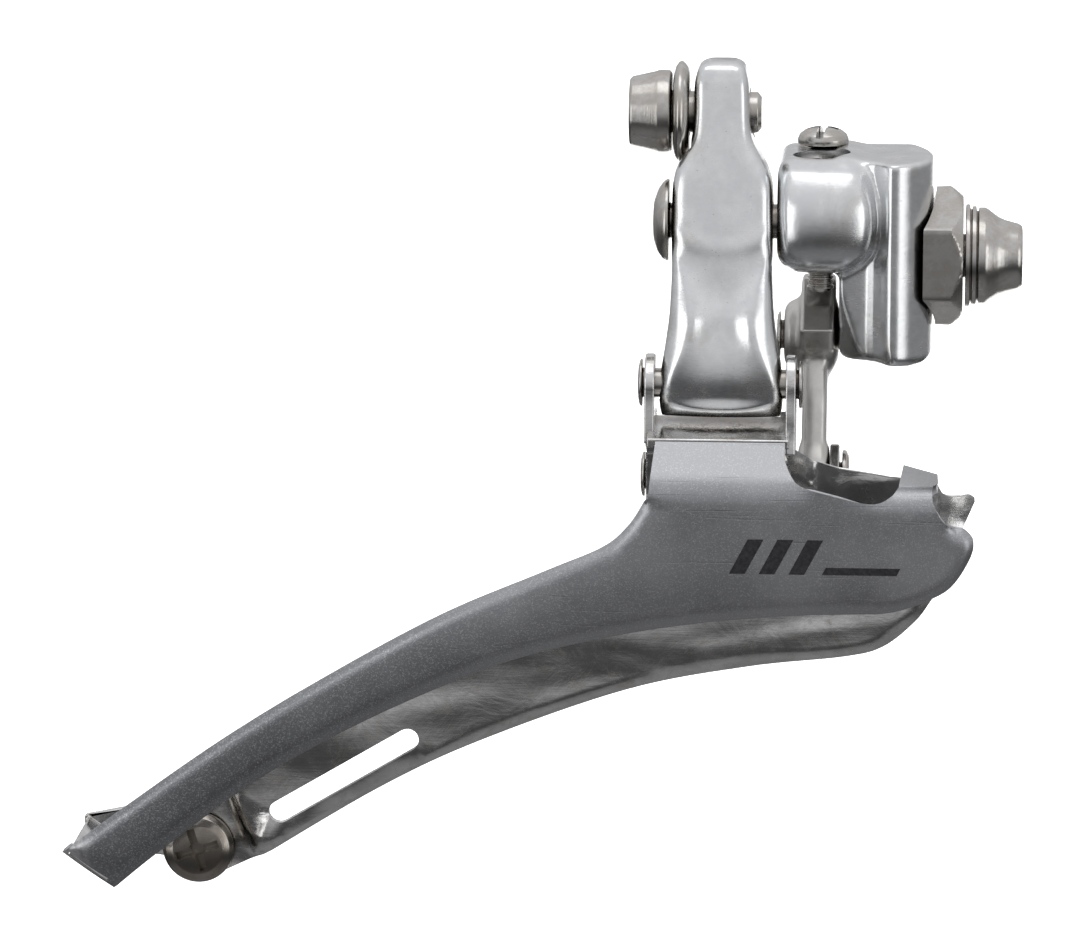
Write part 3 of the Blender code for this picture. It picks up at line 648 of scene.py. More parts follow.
def turned_steel(name, axis, tint=(0.58, 0.568, 0.55)):
    """Machined steel: fine rings round its axis, a little brown staining and wear, painted shade in
    its corners.
    """
    graph = Graph(name, metallic=1.0)
    stretch = {"X": (9.0, 0.25, 0.25), "Y": (0.25, 9.0, 0.25), "Z": (0.25, 0.25, 9.0)}[axis]
    rings = graph.noise(1.6, 2.0, 0.7, stretch)
    cloud = graph.noise(0.45, 5.0, 0.65)
    specks = graph.ramp(graph.cells(2.0), [(0.0, 0.0), (0.12, 1.0), (1.0, 1.0)])
    # painted shade: an occlusion mask turns the colour near black in corners and gaps
    painted_shade = graph.ramp(graph.crevice(0.9), [(0.1, 0.0), (0.8, 1.0)])
    stained = tuple(value * share for value, share in zip(tint, (0.86, 0.83, 0.79)))
    colour = graph.mix(graph.ramp(cloud, [(0.38, 0.0), (0.62, 1.0)]), stained, tint)
    colour = graph.mix(specks, (0.36, 0.33, 0.30), colour)
    colour = graph.mix(painted_shade, (0.12, 0.10, 0.08), colour)
    graph.set("Base Color", colour)
    graph.set("Roughness", graph.ramp(cloud, [(0.3, 0.26), (0.7, 0.16)]))
    graph.bump(graph.height([(rings, 0.5), (cloud, 0.2), (specks, 0.1)]), 0.03, 0.5)
    return graph.look


def chromed_steel():
    """Pressed steel with a thin nickel-chrome skin, clouded and stained brown by the chain, with
    painted shade in its corners.
    """
    graph = Graph("chromed_steel", metallic=1.0)
    cloud = graph.noise(0.22, 6.0, 0.6, distort=0.6)
    grime = graph.noise(0.55, 6.0, 0.7, distort=1.2)
    grain = graph.noise(6.0, 3.0, 0.6)
    wave = graph.noise(0.085, 1.0, 0.4, (0.55, 1.0, 1.7), (0, 28, 0), distort=0.3)
    rub = graph.noise(1.2, 3.0, 0.6, (0.25, 1.0, 3.0), (0, 28, 0))
    # painted shade: an occlusion mask darkens the colour in corners and gaps
    painted_shade = graph.ramp(graph.crevice(2.0), [(0.1, 0.0), (0.7, 1.0)])
    colour = graph.mix(graph.ramp(cloud, [(0.4, 0.0), (0.62, 1.0)]),
                       (0.64, 0.635, 0.62), (0.76, 0.76, 0.76))
    colour = graph.mix(graph.ramp(grime, [(0.46, 0.0), (0.78, 0.55)]), colour,
                       (0.44, 0.385, 0.32))
    colour = graph.mix(painted_shade, (0.20, 0.18, 0.16), colour)
    graph.set("Base Color", colour)
    rough = graph.mix(graph.ramp(grime, [(0.45, 0.0), (0.7, 1.0)]),
                      (0.16, 0.16, 0.16), (0.32, 0.32, 0.32))
    graph.set("Roughness", rough)
    graph.bump(graph.height([(wave, 1.0), (cloud, 0.05), (grain, 0.002), (rub, 0.006)]), 1.6)
    return graph.look


def grey_paint():
    """Dark metallic grey paint with bright flakes and scratches, with painted shade darker towards
    the tail and a painted highlight at the tail tip.
    """
    graph = Graph("grey_paint", metallic=0.9)
    flakes = graph.cells(11.0, output="Color")
    split = graph.add("ShaderNodeSeparateColor", {"Color": flakes})
    sparkle = graph.ramp(split.outputs["Red"], [(0.72, 0.0), (1.0, 1.0)])
    cloud = graph.noise(0.12, 4.0, 0.6)
    scratches = graph.ramp(graph.noise(1.4, 2.0, 0.5, (0.05, 1.0, 2.6), (0, 32, 0)),
                           [(0.66, 0.0), (0.72, 1.0)])
    colour = graph.mix(graph.ramp(cloud, [(0.3, 0.0), (0.7, 1.0)]),
                       (0.35, 0.355, 0.37), (0.40, 0.405, 0.42))
    length = graph.maths("DIVIDE", graph.maths("ADD", graph.along(), 95.0), 95.0)
    # painted shade: the paint colour darkens towards the tail
    colour = graph.mix(graph.ramp(length, [(0.1, 0.0), (0.7, 1.0)]), (0.23, 0.235, 0.247), colour)
    # painted highlight: the colour turns to bright bare metal at the tail tip
    tip_highlight = graph.maths("MULTIPLY", graph.ramp(length, [(0.01, 1.0), (0.045, 0.0)]),
                       graph.ramp(graph.noise(1.4, 3.0, 0.6), [(0.3, 0.2), (0.6, 1.0)]))
    colour = graph.mix(tip_highlight, colour, (0.62, 0.62, 0.63))
    colour = graph.mix(sparkle, colour, (0.52, 0.525, 0.535))
    colour = graph.mix(graph.maths("MULTIPLY", scratches, 0.16), colour, (0.07, 0.07, 0.075))
    graph.set("Base Color", colour)
    graph.set("Roughness", graph.ramp(cloud, [(0.3, 0.34), (0.7, 0.42)]))
    graph.set("Coat Weight", 0.25)
    graph.set("Coat Roughness", 0.25)
    graph.bump(graph.height([(sparkle, 0.25), (graph.noise(2.2, 3.0), 0.5), (scratches, -0.5)]),
               0.03, 0.5)
    return graph.look


def spring_wire():
    """Dark, dull steel wire."""
    graph = Graph("spring_wire", metallic=1.0)
    cloud = graph.noise(1.2, 4.0)
    graph.set("Base Color", graph.ramp(cloud, [(0.35, (0.16, 0.15, 0.14)),
                                               (0.7, (0.34, 0.33, 0.32))]))
    graph.set("Roughness", graph.ramp(cloud, [(0.3, 0.5), (0.7, 0.32)]))
    graph.bump(cloud, 0.03, 0.5)
    return graph.look


def moulded_sleeve():
    """Pale moulded plastic."""
    graph = Graph("moulded_sleeve")
    cloud = graph.noise(0.9, 4.0)
    graph.set("Base Color", graph.ramp(cloud, [(0.3, (0.62, 0.61, 0.56)),
                                               (0.7, (0.74, 0.73, 0.69))]))
    graph.set("Roughness", 0.5)
    graph.bump(graph.noise(5.0, 3.0), 0.02, 0.4)
    return graph.look


def printed_mark():
    """Black ink, a little worn."""
    graph = Graph("printed_mark")
    wear = graph.noise(2.5, 4.0, 0.7)
    graph.set("Base Color", graph.ramp(wear, [(0.3, (0.015, 0.015, 0.018)),
                                              (0.75, (0.045, 0.045, 0.05))]))
    graph.set("Roughness", 0.4)
    return graph.look


def plain_stage():
    """The backdrop's even white, which gives off a little light of its own."""
    graph = Graph("stage_white")
    graph.set("Base Color", (1.0, 1.0, 1.0))
    graph.set("Roughness", 0.9)
    graph.set("Emission Color", (1.0, 1.0, 1.0))
    graph.set("Emission Strength", 1.0)
    return graph.look


ALUMINIUM = polished_aluminium("polished_aluminium",
                               ((0.74, 0.755, 0.765), (0.84, 0.845, 0.85)))
DULL_ALUMINIUM = polished_aluminium("dull_aluminium",
                                    ((0.58, 0.57, 0.55), (0.70, 0.69, 0.67)), 0.10)
STEEL_X = turned_steel("turned_steel_along", "X")
STEEL_Z = turned_steel("turned_steel_upright", "Z")
# painted shade: a darker copy of turned steel for the tail screw, which sits in the shade of the
# plates
STEEL_Y = turned_steel("turned_steel_across", "Y", (0.36, 0.335, 0.305))
CHROME = chromed_steel()
PAINT = grey_paint()
WIRE = spring_wire()
SLEEVE = moulded_sleeve()
MARK = printed_mark()


# ---------------------------------------------------------------- body

BODY_LOW, BODY_HIGH = box_mm("mount_body")
SEAT_RADIUS = 17.0              # of the tube clamp or braze-on tab that it sits against
NEAR_SCREW = centre_mm("high_limit_screw")
FAR_SCREW = centre_mm("low_limit_screw")
FLANGE_BACK = -10.2
BOSS_FRONT = -6.2
BOSS_BOTTOM = -1.0
BOSS_NEAR = -10.3               # the pillow's nearest point, over (BOSS_X, BOSS_Z)
BOSS_X = -11.8
BOSS_Z = 4.4
# (x, y) of the flange's near side, back to front: the ridge is at x -4.4
FLANGE_SECTION = ((-10.2, -5.9), (-9.0, -5.6), (-8.0, -5.5), (-7.2, -5.7), (-6.4, -6.2),
                  (-5.6, -7.1), (-4.9, -8.05), (-4.4, -8.3), (-3.6, -8.22), (-2.4, -7.95),
                  (-1.4, -7.5), (-0.6, -6.9), (1.0, -5.6))
# three points of the slanting flat low on the flange
FLANGE_FLAT = ((-9.4, -6.0, -4.0), (-4.4, -8.4, -9.6), (-9.4, -3.9, -10.8))


def boss_field(x, y, z):
    """The pillow-shaped pivot boss: a block with a bulging near side."""
    bulge = 2.1 * (np.abs(x - BOSS_X) / 6.0) ** 2.4 + 3.0 * (np.abs(z - BOSS_Z) / 6.4) ** 2.2
    near = (BOSS_NEAR + bulge - y) / 1.25
    outline = both(BODY_LOW.x - x, BOSS_BOTTOM - z, 2.4)
    outline = both(outline, x - BOSS_FRONT + 0.05 * (z - 5.0) ** 2, 3.0)
    boss = both(outline, near, 1.5)
    boss = both(boss, z - BODY_HIGH.z, 1.5)
    return both(boss, y - BODY_HIGH.y, 1.0)


def flange_field(x, y, z):
    """The flange: one long ridge near its middle, a curved seat, a slanting flat low down."""
    near = np.interp(x, *zip(*FLANGE_SECTION)) - y
    seat = x + SEAT_RADIUS - np.sqrt(np.maximum(SEAT_RADIUS ** 2 - y ** 2, 1.0))
    flange = both(near * 0.85, seat, 2.4)
    flange = both(flange, FLANGE_BACK - x, 0.7)
    flange = both(flange, BODY_LOW.z - 0.05 * x - z, 1.1)
    flange = both(flange, z - BODY_HIGH.z, 0.5)
    flange = both(flange, y - BODY_HIGH.y, 1.0)
    return both(flange, side_of(x, y, z, *FLANGE_FLAT), 0.2)


def make_body():
    """The forged body: flange with the curved seat and its near ridge, pillow-shaped pivot boss."""
    x, y, z = grid(BODY_LOW, BODY_HIGH, 0.2)
    field = either(boss_field(x, y, z), flange_field(x, y, z), 1.3)
    body = finish_object("body_forging", skin(field, x, y, z), ALUMINIUM, "body",
                         node="mount_body")
    relax(body, 3)
    above = BODY_HIGH.z + 1.0
    bore(body, -18.5, -9.0, 2.0, PIVOT_1)            # the outer link's upper pin
    bore(body, -12.0, -4.6, 1.7, PIVOT_3)            # the inner link's upper pin
    bore(body, -10.0, 1.0, 2.7, (0.0, 0.0))          # the hanger bolt
    for screw in (NEAR_SCREW, FAR_SCREW):
        cut_with(body, upright([(-2.5, 1.75), (above, 1.75)], screw.x, screw.y))
    cut_with(body, upright([(8.6, 3.15), (above, 3.15)], NEAR_SCREW.x, NEAR_SCREW.y))
    shade(body.data, 35.0)


# ---------------------------------------------------------------- links

def between(levels, z):
    """Value of every column of a table of levels, at height z."""
    for lower, upper in zip(levels, levels[1:]):
        if lower[0] <= z <= upper[0]:
            t = (z - lower[0]) / (upper[0] - lower[0])
            return [a + (b - a) * t for a, b in zip(lower[1:], upper[1:])]
    return list(levels[-1][1:]) if z > levels[-1][0] else list(levels[0][1:])


def eased(levels, z, reach):
    """The same, averaged over a reach above and below so that no level leaves a crease."""
    reach = min(reach, z - levels[0][0], levels[-1][0] - z)
    samples = [between(levels, z + reach * share / 4.0) for share in range(-4, 5)]
    weights = [5 - abs(share) for share in range(-4, 5)]
    total = sum(weights)
    return [sum(weight * sample[column] for weight, sample in zip(weights, samples)) / total
            for column in range(len(samples[0]))]


# height, left, right, near, far of the outer link's section
OUTER_LEVELS = [
    (-16.1, -29.2, -16.4, -13.0, -9.6), (-15.6, -29.4, -16.2, -13.4, -8.8),
    (-14.6, -29.55, -16.05, -13.9, -8.1), (-13.2, -29.6, -16.0, -14.3, -7.6),
    (-11.6, -29.45, -16.15, -14.4, -7.5), (-10.2, -29.25, -16.3, -14.3, -7.5),
    (-8.5, -28.95, -16.7, -14.0, -6.9),
    (-5.0, -28.5, -17.2, -13.0, -5.9), (-1.0, -28.35, -17.4, -11.0, -4.3),
    (1.6, -28.4, -17.4, -9.85, -2.8), (3.4, -28.5, -17.4, -9.6, -1.6),
    (5.6, -28.5, -17.4, -8.95, -1.0), (8.4, -28.45, -17.5, -8.1, -0.5),
    (9.9, -28.25, -17.9, -7.65, -0.1), (11.0, -27.9, -18.5, -7.3, 0.6),
    (11.6, -27.25, -18.9, -7.1, 1.0), (12.5, -26.65, -19.5, -6.85, 1.6),
    (13.9, -26.32, -19.95, -6.4, 2.2), (16.5, -26.28, -20.08, -5.6, 2.8),
    (18.5, -26.28, -20.15, -5.05, 2.9),
    (20.6, -26.1, -20.4, -4.5, 2.5), (21.3, -25.6, -20.9, -4.0, 2.0),
    (21.6, -24.6, -21.8, -3.2, 1.2)]


def link_ring(z, count=96):
    """One level of the outer link: a soft rectangle whose near side is sculpted."""
    left, right, near, far = eased(OUTER_LEVELS, z, 1.5)
    middle_x = (left + right) / 2.0
    middle_y = (near + far) / 2.0
    reach_x = (right - left) / 2.0
    reach_y = (far - near) / 2.0
    power = 5.0 - 1.8 * ease(-z, 0.0, 8.0)
    points = []
    for turn in turns(count):
        across = math.copysign(abs(math.cos(turn)) ** (2.0 / power), math.cos(turn))
        deep = math.copysign(abs(math.sin(turn)) ** (2.0 / power), math.sin(turn))
        y = middle_y + reach_y * deep
        if deep < 0.0:
            y += near_sculpt(across, z) * -deep
        points.append((middle_x + reach_x * across, y, z))
    return points


def near_sculpt(across, z):
    """How far the near side is hollowed: a flat panel ends in a curved lip, and below it two
    ribs close in to a waist and spread again, with a valley between them."""
    middle = 1.0 - across * across
    shoulder = 3.4 - 1.9 * middle
    waist = 0.56 + 0.40 * min(1.0, abs(z + 5.5) / 7.5) ** 1.5
    reach = abs(across) / waist
    low = ease(shoulder - z, 0.0, 5.5) * (1.0 - ease(-z, 13.6, 15.6))
    valley = (1.25 - 0.35 * ease(-z, 6.0, 12.0)) * max(0.0, 1.0 - reach ** 2) ** 1.1
    flank = 1.3 * max(0.0, abs(across) - waist)
    swelling = 0.17 * math.exp(-((z - shoulder - 0.5) / 0.9) ** 2)
    facet = max(0.0, -15.1 + 1.0 * across * across - z) * 0.7
    return low * (valley + flank) - swelling + facet


def make_outer_link():
    """The forged outer link, skinned level by level; levels crowd together near both ends."""
    low, high = OUTER_LEVELS[0][0], OUTER_LEVELS[-1][0]
    levels = 150
    rings = []
    for index in range(levels + 1):
        share = index / levels
        share -= 0.028 * math.sin(2.0 * math.pi * share)
        rings.append(link_ring(low + (high - low) * share))
    link = finish_object("outer_link_forging", bridge_rings(rings), ALUMINIUM, "outer_link",
                         60.0, node="outer_link")
    relax(link, 4)
    anchor = centre_mm("cable_anchor_bolt").yz
    bore(link, -40.0, -10.0, 2.2, PIVOT_1)           # upper pin
    bore(link, -40.0, -10.0, 1.9, PIVOT_2)           # lower pin
    bore(link, -30.0, -15.0, 2.75, anchor)           # cable bolt
    bore(link, -30.0, -26.45, 5.95, anchor)          # seat of the cable plate
    shade(link.data, 50.0)


ARM_X = -12.8                   # middle of the inner link's arm and of its lower barrel


def rod_field(x, y, z, first, second, radius):
    """Distance from a round bar between two points."""
    first, second = np.array(first), np.array(second)
    along = second - first
    offset = np.stack([x - first[0], y - first[1], z - first[2]], axis=-1)
    share = np.clip(offset @ along / (along @ along), 0.0, 1.0)
    return np.linalg.norm(offset - share[..., None] * along, axis=-1) - radius


def make_inner_link():
    """Inner link, forged: domed hub, stop pads under the limit screws, flat arm, lower barrel."""
    y3, z3 = PIVOT_3
    y4, z4 = PIVOT_4
    low, high = box_mm("inner_link")
    x, y, z = grid(low, high, 0.18)
    hub = both(np.hypot(y - y3, z - z3) - 3.9, np.abs(x + 13.4) - 2.9, 1.4)
    pads = [(y3 + 5.2, z3 + 1.0), (y3 + 5.2, high.z - 0.1), (y3 + 1.6, high.z - 0.1),
            (y3 - 3.3, z3 + 3.85), (y3 - 6.55, z3 + 1.55), (y3 - 4.6, z3 - 1.0), (y3, z3 - 2.5)]
    wedge = np.full(x.shape, -50.0)
    for (y1, z1), (y2, z2) in zip(pads, pads[1:] + pads[:1]):
        length = math.hypot(y2 - y1, z2 - z1)
        wedge = np.maximum(wedge, ((y - y1) * (z2 - z1) - (z - z1) * (y2 - y1)) / length)
    wedge = both(wedge, np.abs(x + 12.575) - 1.9, 0.5)
    arm = rod_field(x, y, z, (ARM_X, y3, z3), (ARM_X, y4, z4), 3.0)
    arm = both(arm, np.abs(x - ARM_X) - 1.35, 0.5)
    barrel = both(np.hypot(y - y4, z - z4) - 3.3, np.abs(x - ARM_X) - 1.4, 0.6)
    field = either(either(hub, wedge, 1.0), either(arm, barrel, 1.2), 1.4)
    link = finish_object("inner_link_forging", skin(field, x, y, z), DULL_ALUMINIUM, "inner_link",
                         node="inner_link")
    for axis in (PIVOT_3, PIVOT_4):
        bore(link, -20.0, -5.0, 1.9, axis)
    shade(link.data, 40.0)


# ---------------------------------------------------------------- turned pieces

def make_pin(name, node, body, axis, near_end, far_end, radius=0.18):
    """A turned pin along X. Each end is a list of (distance in from that end, radius)."""
    low, high = box_mm(node)
    stations = [(low.x + inset, reach) for inset, reach in near_end]
    stations += [(high.x - inset, reach) for inset, reach in far_end]
    finish_object(name, turned(stations, *axis, radius), STEEL_X, body, node=node)


def make_pins():
    make_pin("dome_pin", "outer_link_upper_pin", "body", PIVOT_1,
             [(0.0, 0.5), (0.1, 2.2), (0.55, 3.5), (1.1, 4.25), (1.5, 4.55), (1.8, 4.55),
              (1.8, 1.9)],
             [(0.0, 1.9)], 0.3)
    make_pin("ear_rivet", "outer_link_lower_pin", "cage", PIVOT_2,
             [(0.0, 0.6), (0.05, 1.9), (0.25, 2.6), (0.5, 2.6), (0.5, 1.6)],
             [(0.5, 1.6), (0.5, 2.6), (0.2, 2.6), (0.0, 2.0)])
    make_pin("hub_pin", "inner_link_upper_pin", "body", PIVOT_3,
             [(0.0, 1.2), (0.15, 2.3), (0.3, 2.55), (0.5, 2.55), (0.5, 1.6)],
             [(0.0, 1.6)])
    make_pin("cage_rivet", "inner_link_lower_pin", "cage", PIVOT_4,
             [(0.0, 0.6), (0.05, 1.9), (0.25, 2.5), (0.5, 2.5), (0.5, 1.6)],
             [(0.75, 1.6), (0.75, 2.95), (0.3, 2.95), (0.0, 2.4)])


def cut_slot(screw, centre, turn, reach, half_width, low, high, axis):
    """Cut a straight slot across a screw's head, at an angle in degrees."""
    angle = math.radians(turn)
    outline = []
    for u, v in ((-reach, -half_width), (reach, -half_width), (reach, half_width),
                 (-reach, half_width)):
        outline.append((centre[0] + u * math.cos(angle) - v * math.sin(angle),
                        centre[1] + u * math.sin(angle) + v * math.cos(angle)))
    cut_with(screw, prism(outline, low, high, axis))


def make_limit_screw(name, node, body):
    """A threaded screw with a domed head, a long slot and a short one across it."""
    low, high = box_mm(node)
    middle = (low + high) / 2.0
    base = high.z - 1.9
    stations = [(low.z, 1.0), (low.z + 0.45, 1.5)]
    pitch = 0.5
    z = low.z + 0.6
    while z < base - pitch:
        stations += [(z, 1.5), (z + 0.25 * pitch, 1.24), (z + 0.5 * pitch, 1.24)]
        z += pitch
    stations += [(base, 1.45), (base, 2.8), (base + 0.55, 2.85), (base + 1.1, 2.6),
                 (base + 1.55, 2.0), (base + 1.8, 1.2), (base + 1.9, 0.3)]
    screw = finish_object(name, upright(stations, middle.x, middle.y, 0.12), STEEL_Z, body,
                          node=node)
    for turn, reach in ((82.0, 3.4), (-8.0, 1.7)):
        cut_slot(screw, middle.xy, turn, reach, 0.42, base + 0.9, base + 3.0, "Z")
    soften(screw, 0.06, 2, 40.0)


def make_socket_bolt(name, node, body, stations, axis, radius):
    """A turned bolt whose last station is its end face, with a hexagon socket sunk into it."""
    end = stations[-1][0]
    step = 1.0 if end < stations[0][0] else -1.0
    rings = turned_rings(stations, *axis, radius)
    rings += [hexagon_x(end, 5.35, *axis), hexagon_x(end + step * 0.25, 5.0, *axis),
              hexagon_x(end + step * 3.0, 5.0, *axis), circle_x(end + step * 3.1, 2.2, *axis),
              circle_x(end + step * 4.1, 0.3, *axis)]
    finish_object(name, bridge_rings(rings), STEEL_X, body, node=node)


def make_clamp_bolt():
    """The hanger bolt: a flared head with a hexagon socket in its end."""
    low, high = box_mm("clamp_bolt")
    stations = [(low.x, 1.9), (low.x + 0.5, 2.4), (4.95, 2.4), (4.95, 5.35), (5.7, 5.35),
                (6.05, 5.15), (6.6, 4.72), (7.2, 4.3), (7.9, 4.0), (8.7, 3.78), (9.35, 3.62),
                (9.75, 3.35), (high.x, 3.05)]
    make_socket_bolt("hanger_bolt", "clamp_bolt", "hanger_clamp", stations, (0.0, 0.0), 0.16)


def make_radius_washer():
    """Hexagonal washer: hollow back that fits the curved seat, turned chamfer in front."""
    high = box_mm("radius_washer")[1]
    sides = 192
    hole = 2.8
    corner_radius = 7.8
    face_radius = 6.6
    chamfer_start = high.x - 1.45
    chamfer_end = high.x - 0.04
    slope = (corner_radius - face_radius) / (chamfer_end - chamfer_start)

    def hexagon(x, shrink=0.0):
        limit = corner_radius - shrink - slope * max(0.0, x - chamfer_start)
        points = []
        for point in hexagon_x(x, 13.45, 0.0, 0.0, sides):
            scale = min(1.0, limit / math.hypot(point[1], point[2]))
            points.append((x, point[1] * scale, point[2] * scale))
        return points

    def hollowed(points):
        return [(math.sqrt((SEAT_RADIUS + 0.3) ** 2 - point[1] ** 2) - SEAT_RADIUS,
                 point[1], point[2]) for point in points]

    rings = [hollowed(circle_x(0.0, hole, 0.0, 0.0, sides)), hollowed(hexagon(0.0, 0.1))]
    rings += [hexagon(chamfer_start + (chamfer_end - chamfer_start) * step / 8.0)
              for step in range(9)]
    rings += [circle_x(high.x, radius, 0.0, 0.0, sides) for radius in (face_radius - 0.1, hole)]
    finish_object("hexagon_washer", closed_loop(rings), STEEL_X, "hanger_clamp", 20.0,
                  node="radius_washer")


def ring_of(profile, y=0.0, z=0.0):
    """A turned ring about an axis along X, from a closed (x, r) profile."""
    return closed_loop([circle_x(x, r, y, z) for x, r in profile])


def make_thin_washer(name, node):
    """A thin round washer with a rounded rim; a step in front nearly closes the gap there."""
    low, high = box_mm(node)
    radius = (high.z - low.z) / 2.0
    gap = 0.19
    profile = [(low.x, 2.75), (low.x, radius - 0.16), (low.x + 0.05, radius - 0.04),
               ((low.x + high.x) / 2, radius), (high.x - 0.05, radius - 0.04),
               (high.x, radius - 0.16), (high.x, radius - 0.5), (high.x + gap, radius - 0.55),
               (high.x + gap, 2.75)]
    finish_object(name, ring_of(profile), STEEL_X, "hanger_clamp", node=node)


def make_cable_clamp():
    """The bolt that holds the cable, and the round plate under its head."""
    low, high = box_mm("cable_anchor_bolt")
    y, z = centre_mm("cable_anchor_bolt").yz
    stations = [(high.x, 1.7), (high.x - 0.4, 2.25), (-28.72, 2.3), (-28.72, 4.25), (-28.95, 4.55),
                (-29.6, 4.6), (-30.15, 4.58), (-30.6, 4.42), (-33.1, 3.86), (low.x, 3.6)]
    make_socket_bolt("anchor_bolt", "cable_anchor_bolt", "cable_clamp", stations, (y, z), 0.12)
    low, high = box_mm("cable_anchor_plate")
    radius = (high.z - low.z) / 2.0
    profile = [(low.x, 2.6), (low.x, radius - 1.2), (low.x + 0.15, radius - 0.6),
               (low.x + 0.5, radius - 0.12), (low.x + 0.75, radius), (low.x + 1.0, radius - 0.08),
               (high.x - 0.3, radius - 0.5), (high.x, radius - 1.0), (high.x, 2.6)]
    finish_object("anchor_plate", ring_of(profile, y, z), STEEL_X, "cable_clamp", 50.0,
                  node="cable_anchor_plate")


def make_tail_screw():
    """A pan-head screw with a cross recess, facing out."""
    low, high = box_mm("tail_screw")
    middle = (low + high) / 2.0
    face = low.y + 2.15
    stations = [(high.y, 1.2), (high.y - 0.4, 1.5), (face, 1.5), (face, 3.9), (face - 0.35, 4.0),
                (face - 0.9, 3.98), (face - 1.45, 3.6), (face - 1.9, 2.8), (face - 2.1, 1.6),
                (low.y, 0.4)]
    screw = finish_object("tail_pan_screw", crosswise(stations, middle.x, middle.z, 0.12),
                          STEEL_Y, "cage", node="tail_screw")
    for turn in (18.0, 108.0):
        cut_slot(screw, middle.xz, turn, 2.5, 0.45, face - 4.0, face - 0.8, "Y")
    cut_with(screw, crosswise([(face - 4.0, 1.1), (face - 0.6, 0.8)], middle.x, middle.z))
    soften(screw, 0.08, 2, 40.0)


# ---------------------------------------------------------------- cage

OUTER_FACE = box_mm("outer_cage_plate")[0].y
TAIL_FACE = OUTER_FACE + 2.5
INNER_FACE = -9.5
TAIL_STEP = 2.6                 # how far the inner plate's tail is set inboard
TAIL_SCREW = centre_mm("tail_screw").xz
TAIL_TIP = (-94.9, -64.7)
TAIL_HEEL = (-89.2, -68.7)
UPPER_EDGE = smooth([(-30.1, -22.4), (-30.8, -24.0), (-32.5, -26.6), (-35.2, -28.9),
                     (-41.3, -31.6), (-52.7, -36.8), (-65.4, -44.2), (-78.6, -52.7), TAIL_TIP])
LOWER_EDGE = smooth([TAIL_HEEL, (-83.7, -64.1), (-73.3, -56.2), (-61.6, -49.3), (-48.7, -43.1),
                     (-39.6, -40.0), (-28.1, -37.6), (-15.8, -36.2), (-5.9, -35.8)])
NOSE = smooth([(-5.9, -35.8), (-3.2, -35.3), (-0.3, -34.2), (2.4, -32.6), (4.3, -29.7),
               (4.8, -27.6), (3.8, -26.3), (2.6, -26.0), (1.3, -25.0), (0.4, -23.0),
               (0.3, -21.6)])
NOSE_EDGE = NOSE[:56]           # up to the small step under the front tab
WINDOW = smooth([(-3.3, -21.0), (-4.1, -22.5), (-6.2, -23.4), (-10.7, -22.5), (-13.7, -21.6),
                 (-14.8, -20.4), (-15.6, -18.2)])
# Two parts of the outer plate fold inboard: a wide band at its top and a small tab in front.
# Each has a height where its fold starts, a radius and an angle. Their tops are on the pattern.
BAND_FOLD, BAND_RADIUS, BAND_ANGLE = -23.6, 4.0, math.radians(48.0)
TAB_FOLD, TAB_RADIUS, TAB_ANGLE = -24.4, 2.6, math.radians(90.0)
BAND_TOP = -15.9
TAB_TOP = -9.0


def outer_plate_point(s, t):
    """Where a point of the outer plate's pattern ends up: folded, rolled at its rim or bulged."""
    y = OUTER_FACE + (TAIL_FACE - OUTER_FACE) * ease(-s, 36.0, 70.0)
    if s > -11.0 and t > TAB_FOLD:
        over = (t - TAB_FOLD) * ease(s, -11.0, -5.0)
        height, depth = bend(over, TAB_RADIUS, TAB_ANGLE)
        return (s, y + depth, t - over + height)
    if s > -31.0 and t > BAND_FOLD:
        over = (t - BAND_FOLD) * ease(-s, 11.0, 14.5)
        height, depth = bend(over, BAND_RADIUS, BAND_ANGLE)
        return (s, y + depth, t - over + height)
    roll = max(lip(distance_to(UPPER_EDGE[3:], s, t), 1.0),
               lip(distance_to(LOWER_EDGE, s, t), 1.7),
               lip(distance_to(NOSE_EDGE, s, t), 1.3),
               0.7 * lip(distance_to((TAIL_TIP, TAIL_HEEL), s, t), 3.4))
    bulge = 0.42 * max(0.0, 1.0 - distance_to(LOWER_EDGE, s, t) / 6.5) ** 2
    bulge += 0.30 * max(0.0, 1.0 - distance_to(UPPER_EDGE[3:], s, t) / 5.0) ** 2
    return (s, y + roll + bulge, t)


def make_outer_plate():
    outline = [(-15.6, BAND_TOP), (-29.6, BAND_TOP)] + UPPER_EDGE + LOWER_EDGE + NOSE[1:]
    outline += [(0.4, -20.2), (0.95, -18.9), (0.85, -13.9), (-2.9, TAB_TOP)] + WINDOW
    made = sheet_metal(outline, [], outer_plate_point, SHEET_STEP)
    finish_object("outer_plate", made, PAINT, "cage", 50.0, node="outer_cage_plate")


def make_tail_wrap():
    """The outer plate's tail, wrapped inboard and back behind the inner plate."""
    along = Vector((TAIL_HEEL[0] - TAIL_TIP[0], TAIL_HEEL[1] - TAIL_TIP[1])).normalized()
    into = Vector((-along.y, along.x))
    if into.x < 0.0:
        into = -into
    start = Vector(TAIL_TIP) + along * 0.6 + into * 0.3
    end = Vector(TAIL_HEEL) - along * 1.0 + into * 0.3
    wall = [tuple(start), tuple(end), tuple(end + into * SHEET), tuple(start + into * SHEET)]
    back = INNER_FACE + SHEET + TAIL_STEP + 0.3
    made = prism(wall, TAIL_FACE + 1.2, back + SHEET, "Y")
    piece = finish_object("tail_wall", made, CHROME, "cage")
    tab = [tuple(start), (-94.2, -63.8), (-89.3, -62.8), (-80.2, -61.4), (-77.6, -63.2),
           (-77.4, -67.6), (-79.4, -70.0), (-82.4, -70.0), (-84.8, -68.4), tuple(end)]
    cut_with(piece, prism(tab, back, back + SHEET, "Y"), "UNION")
    soften(piece, 0.2, 3, 40.0)


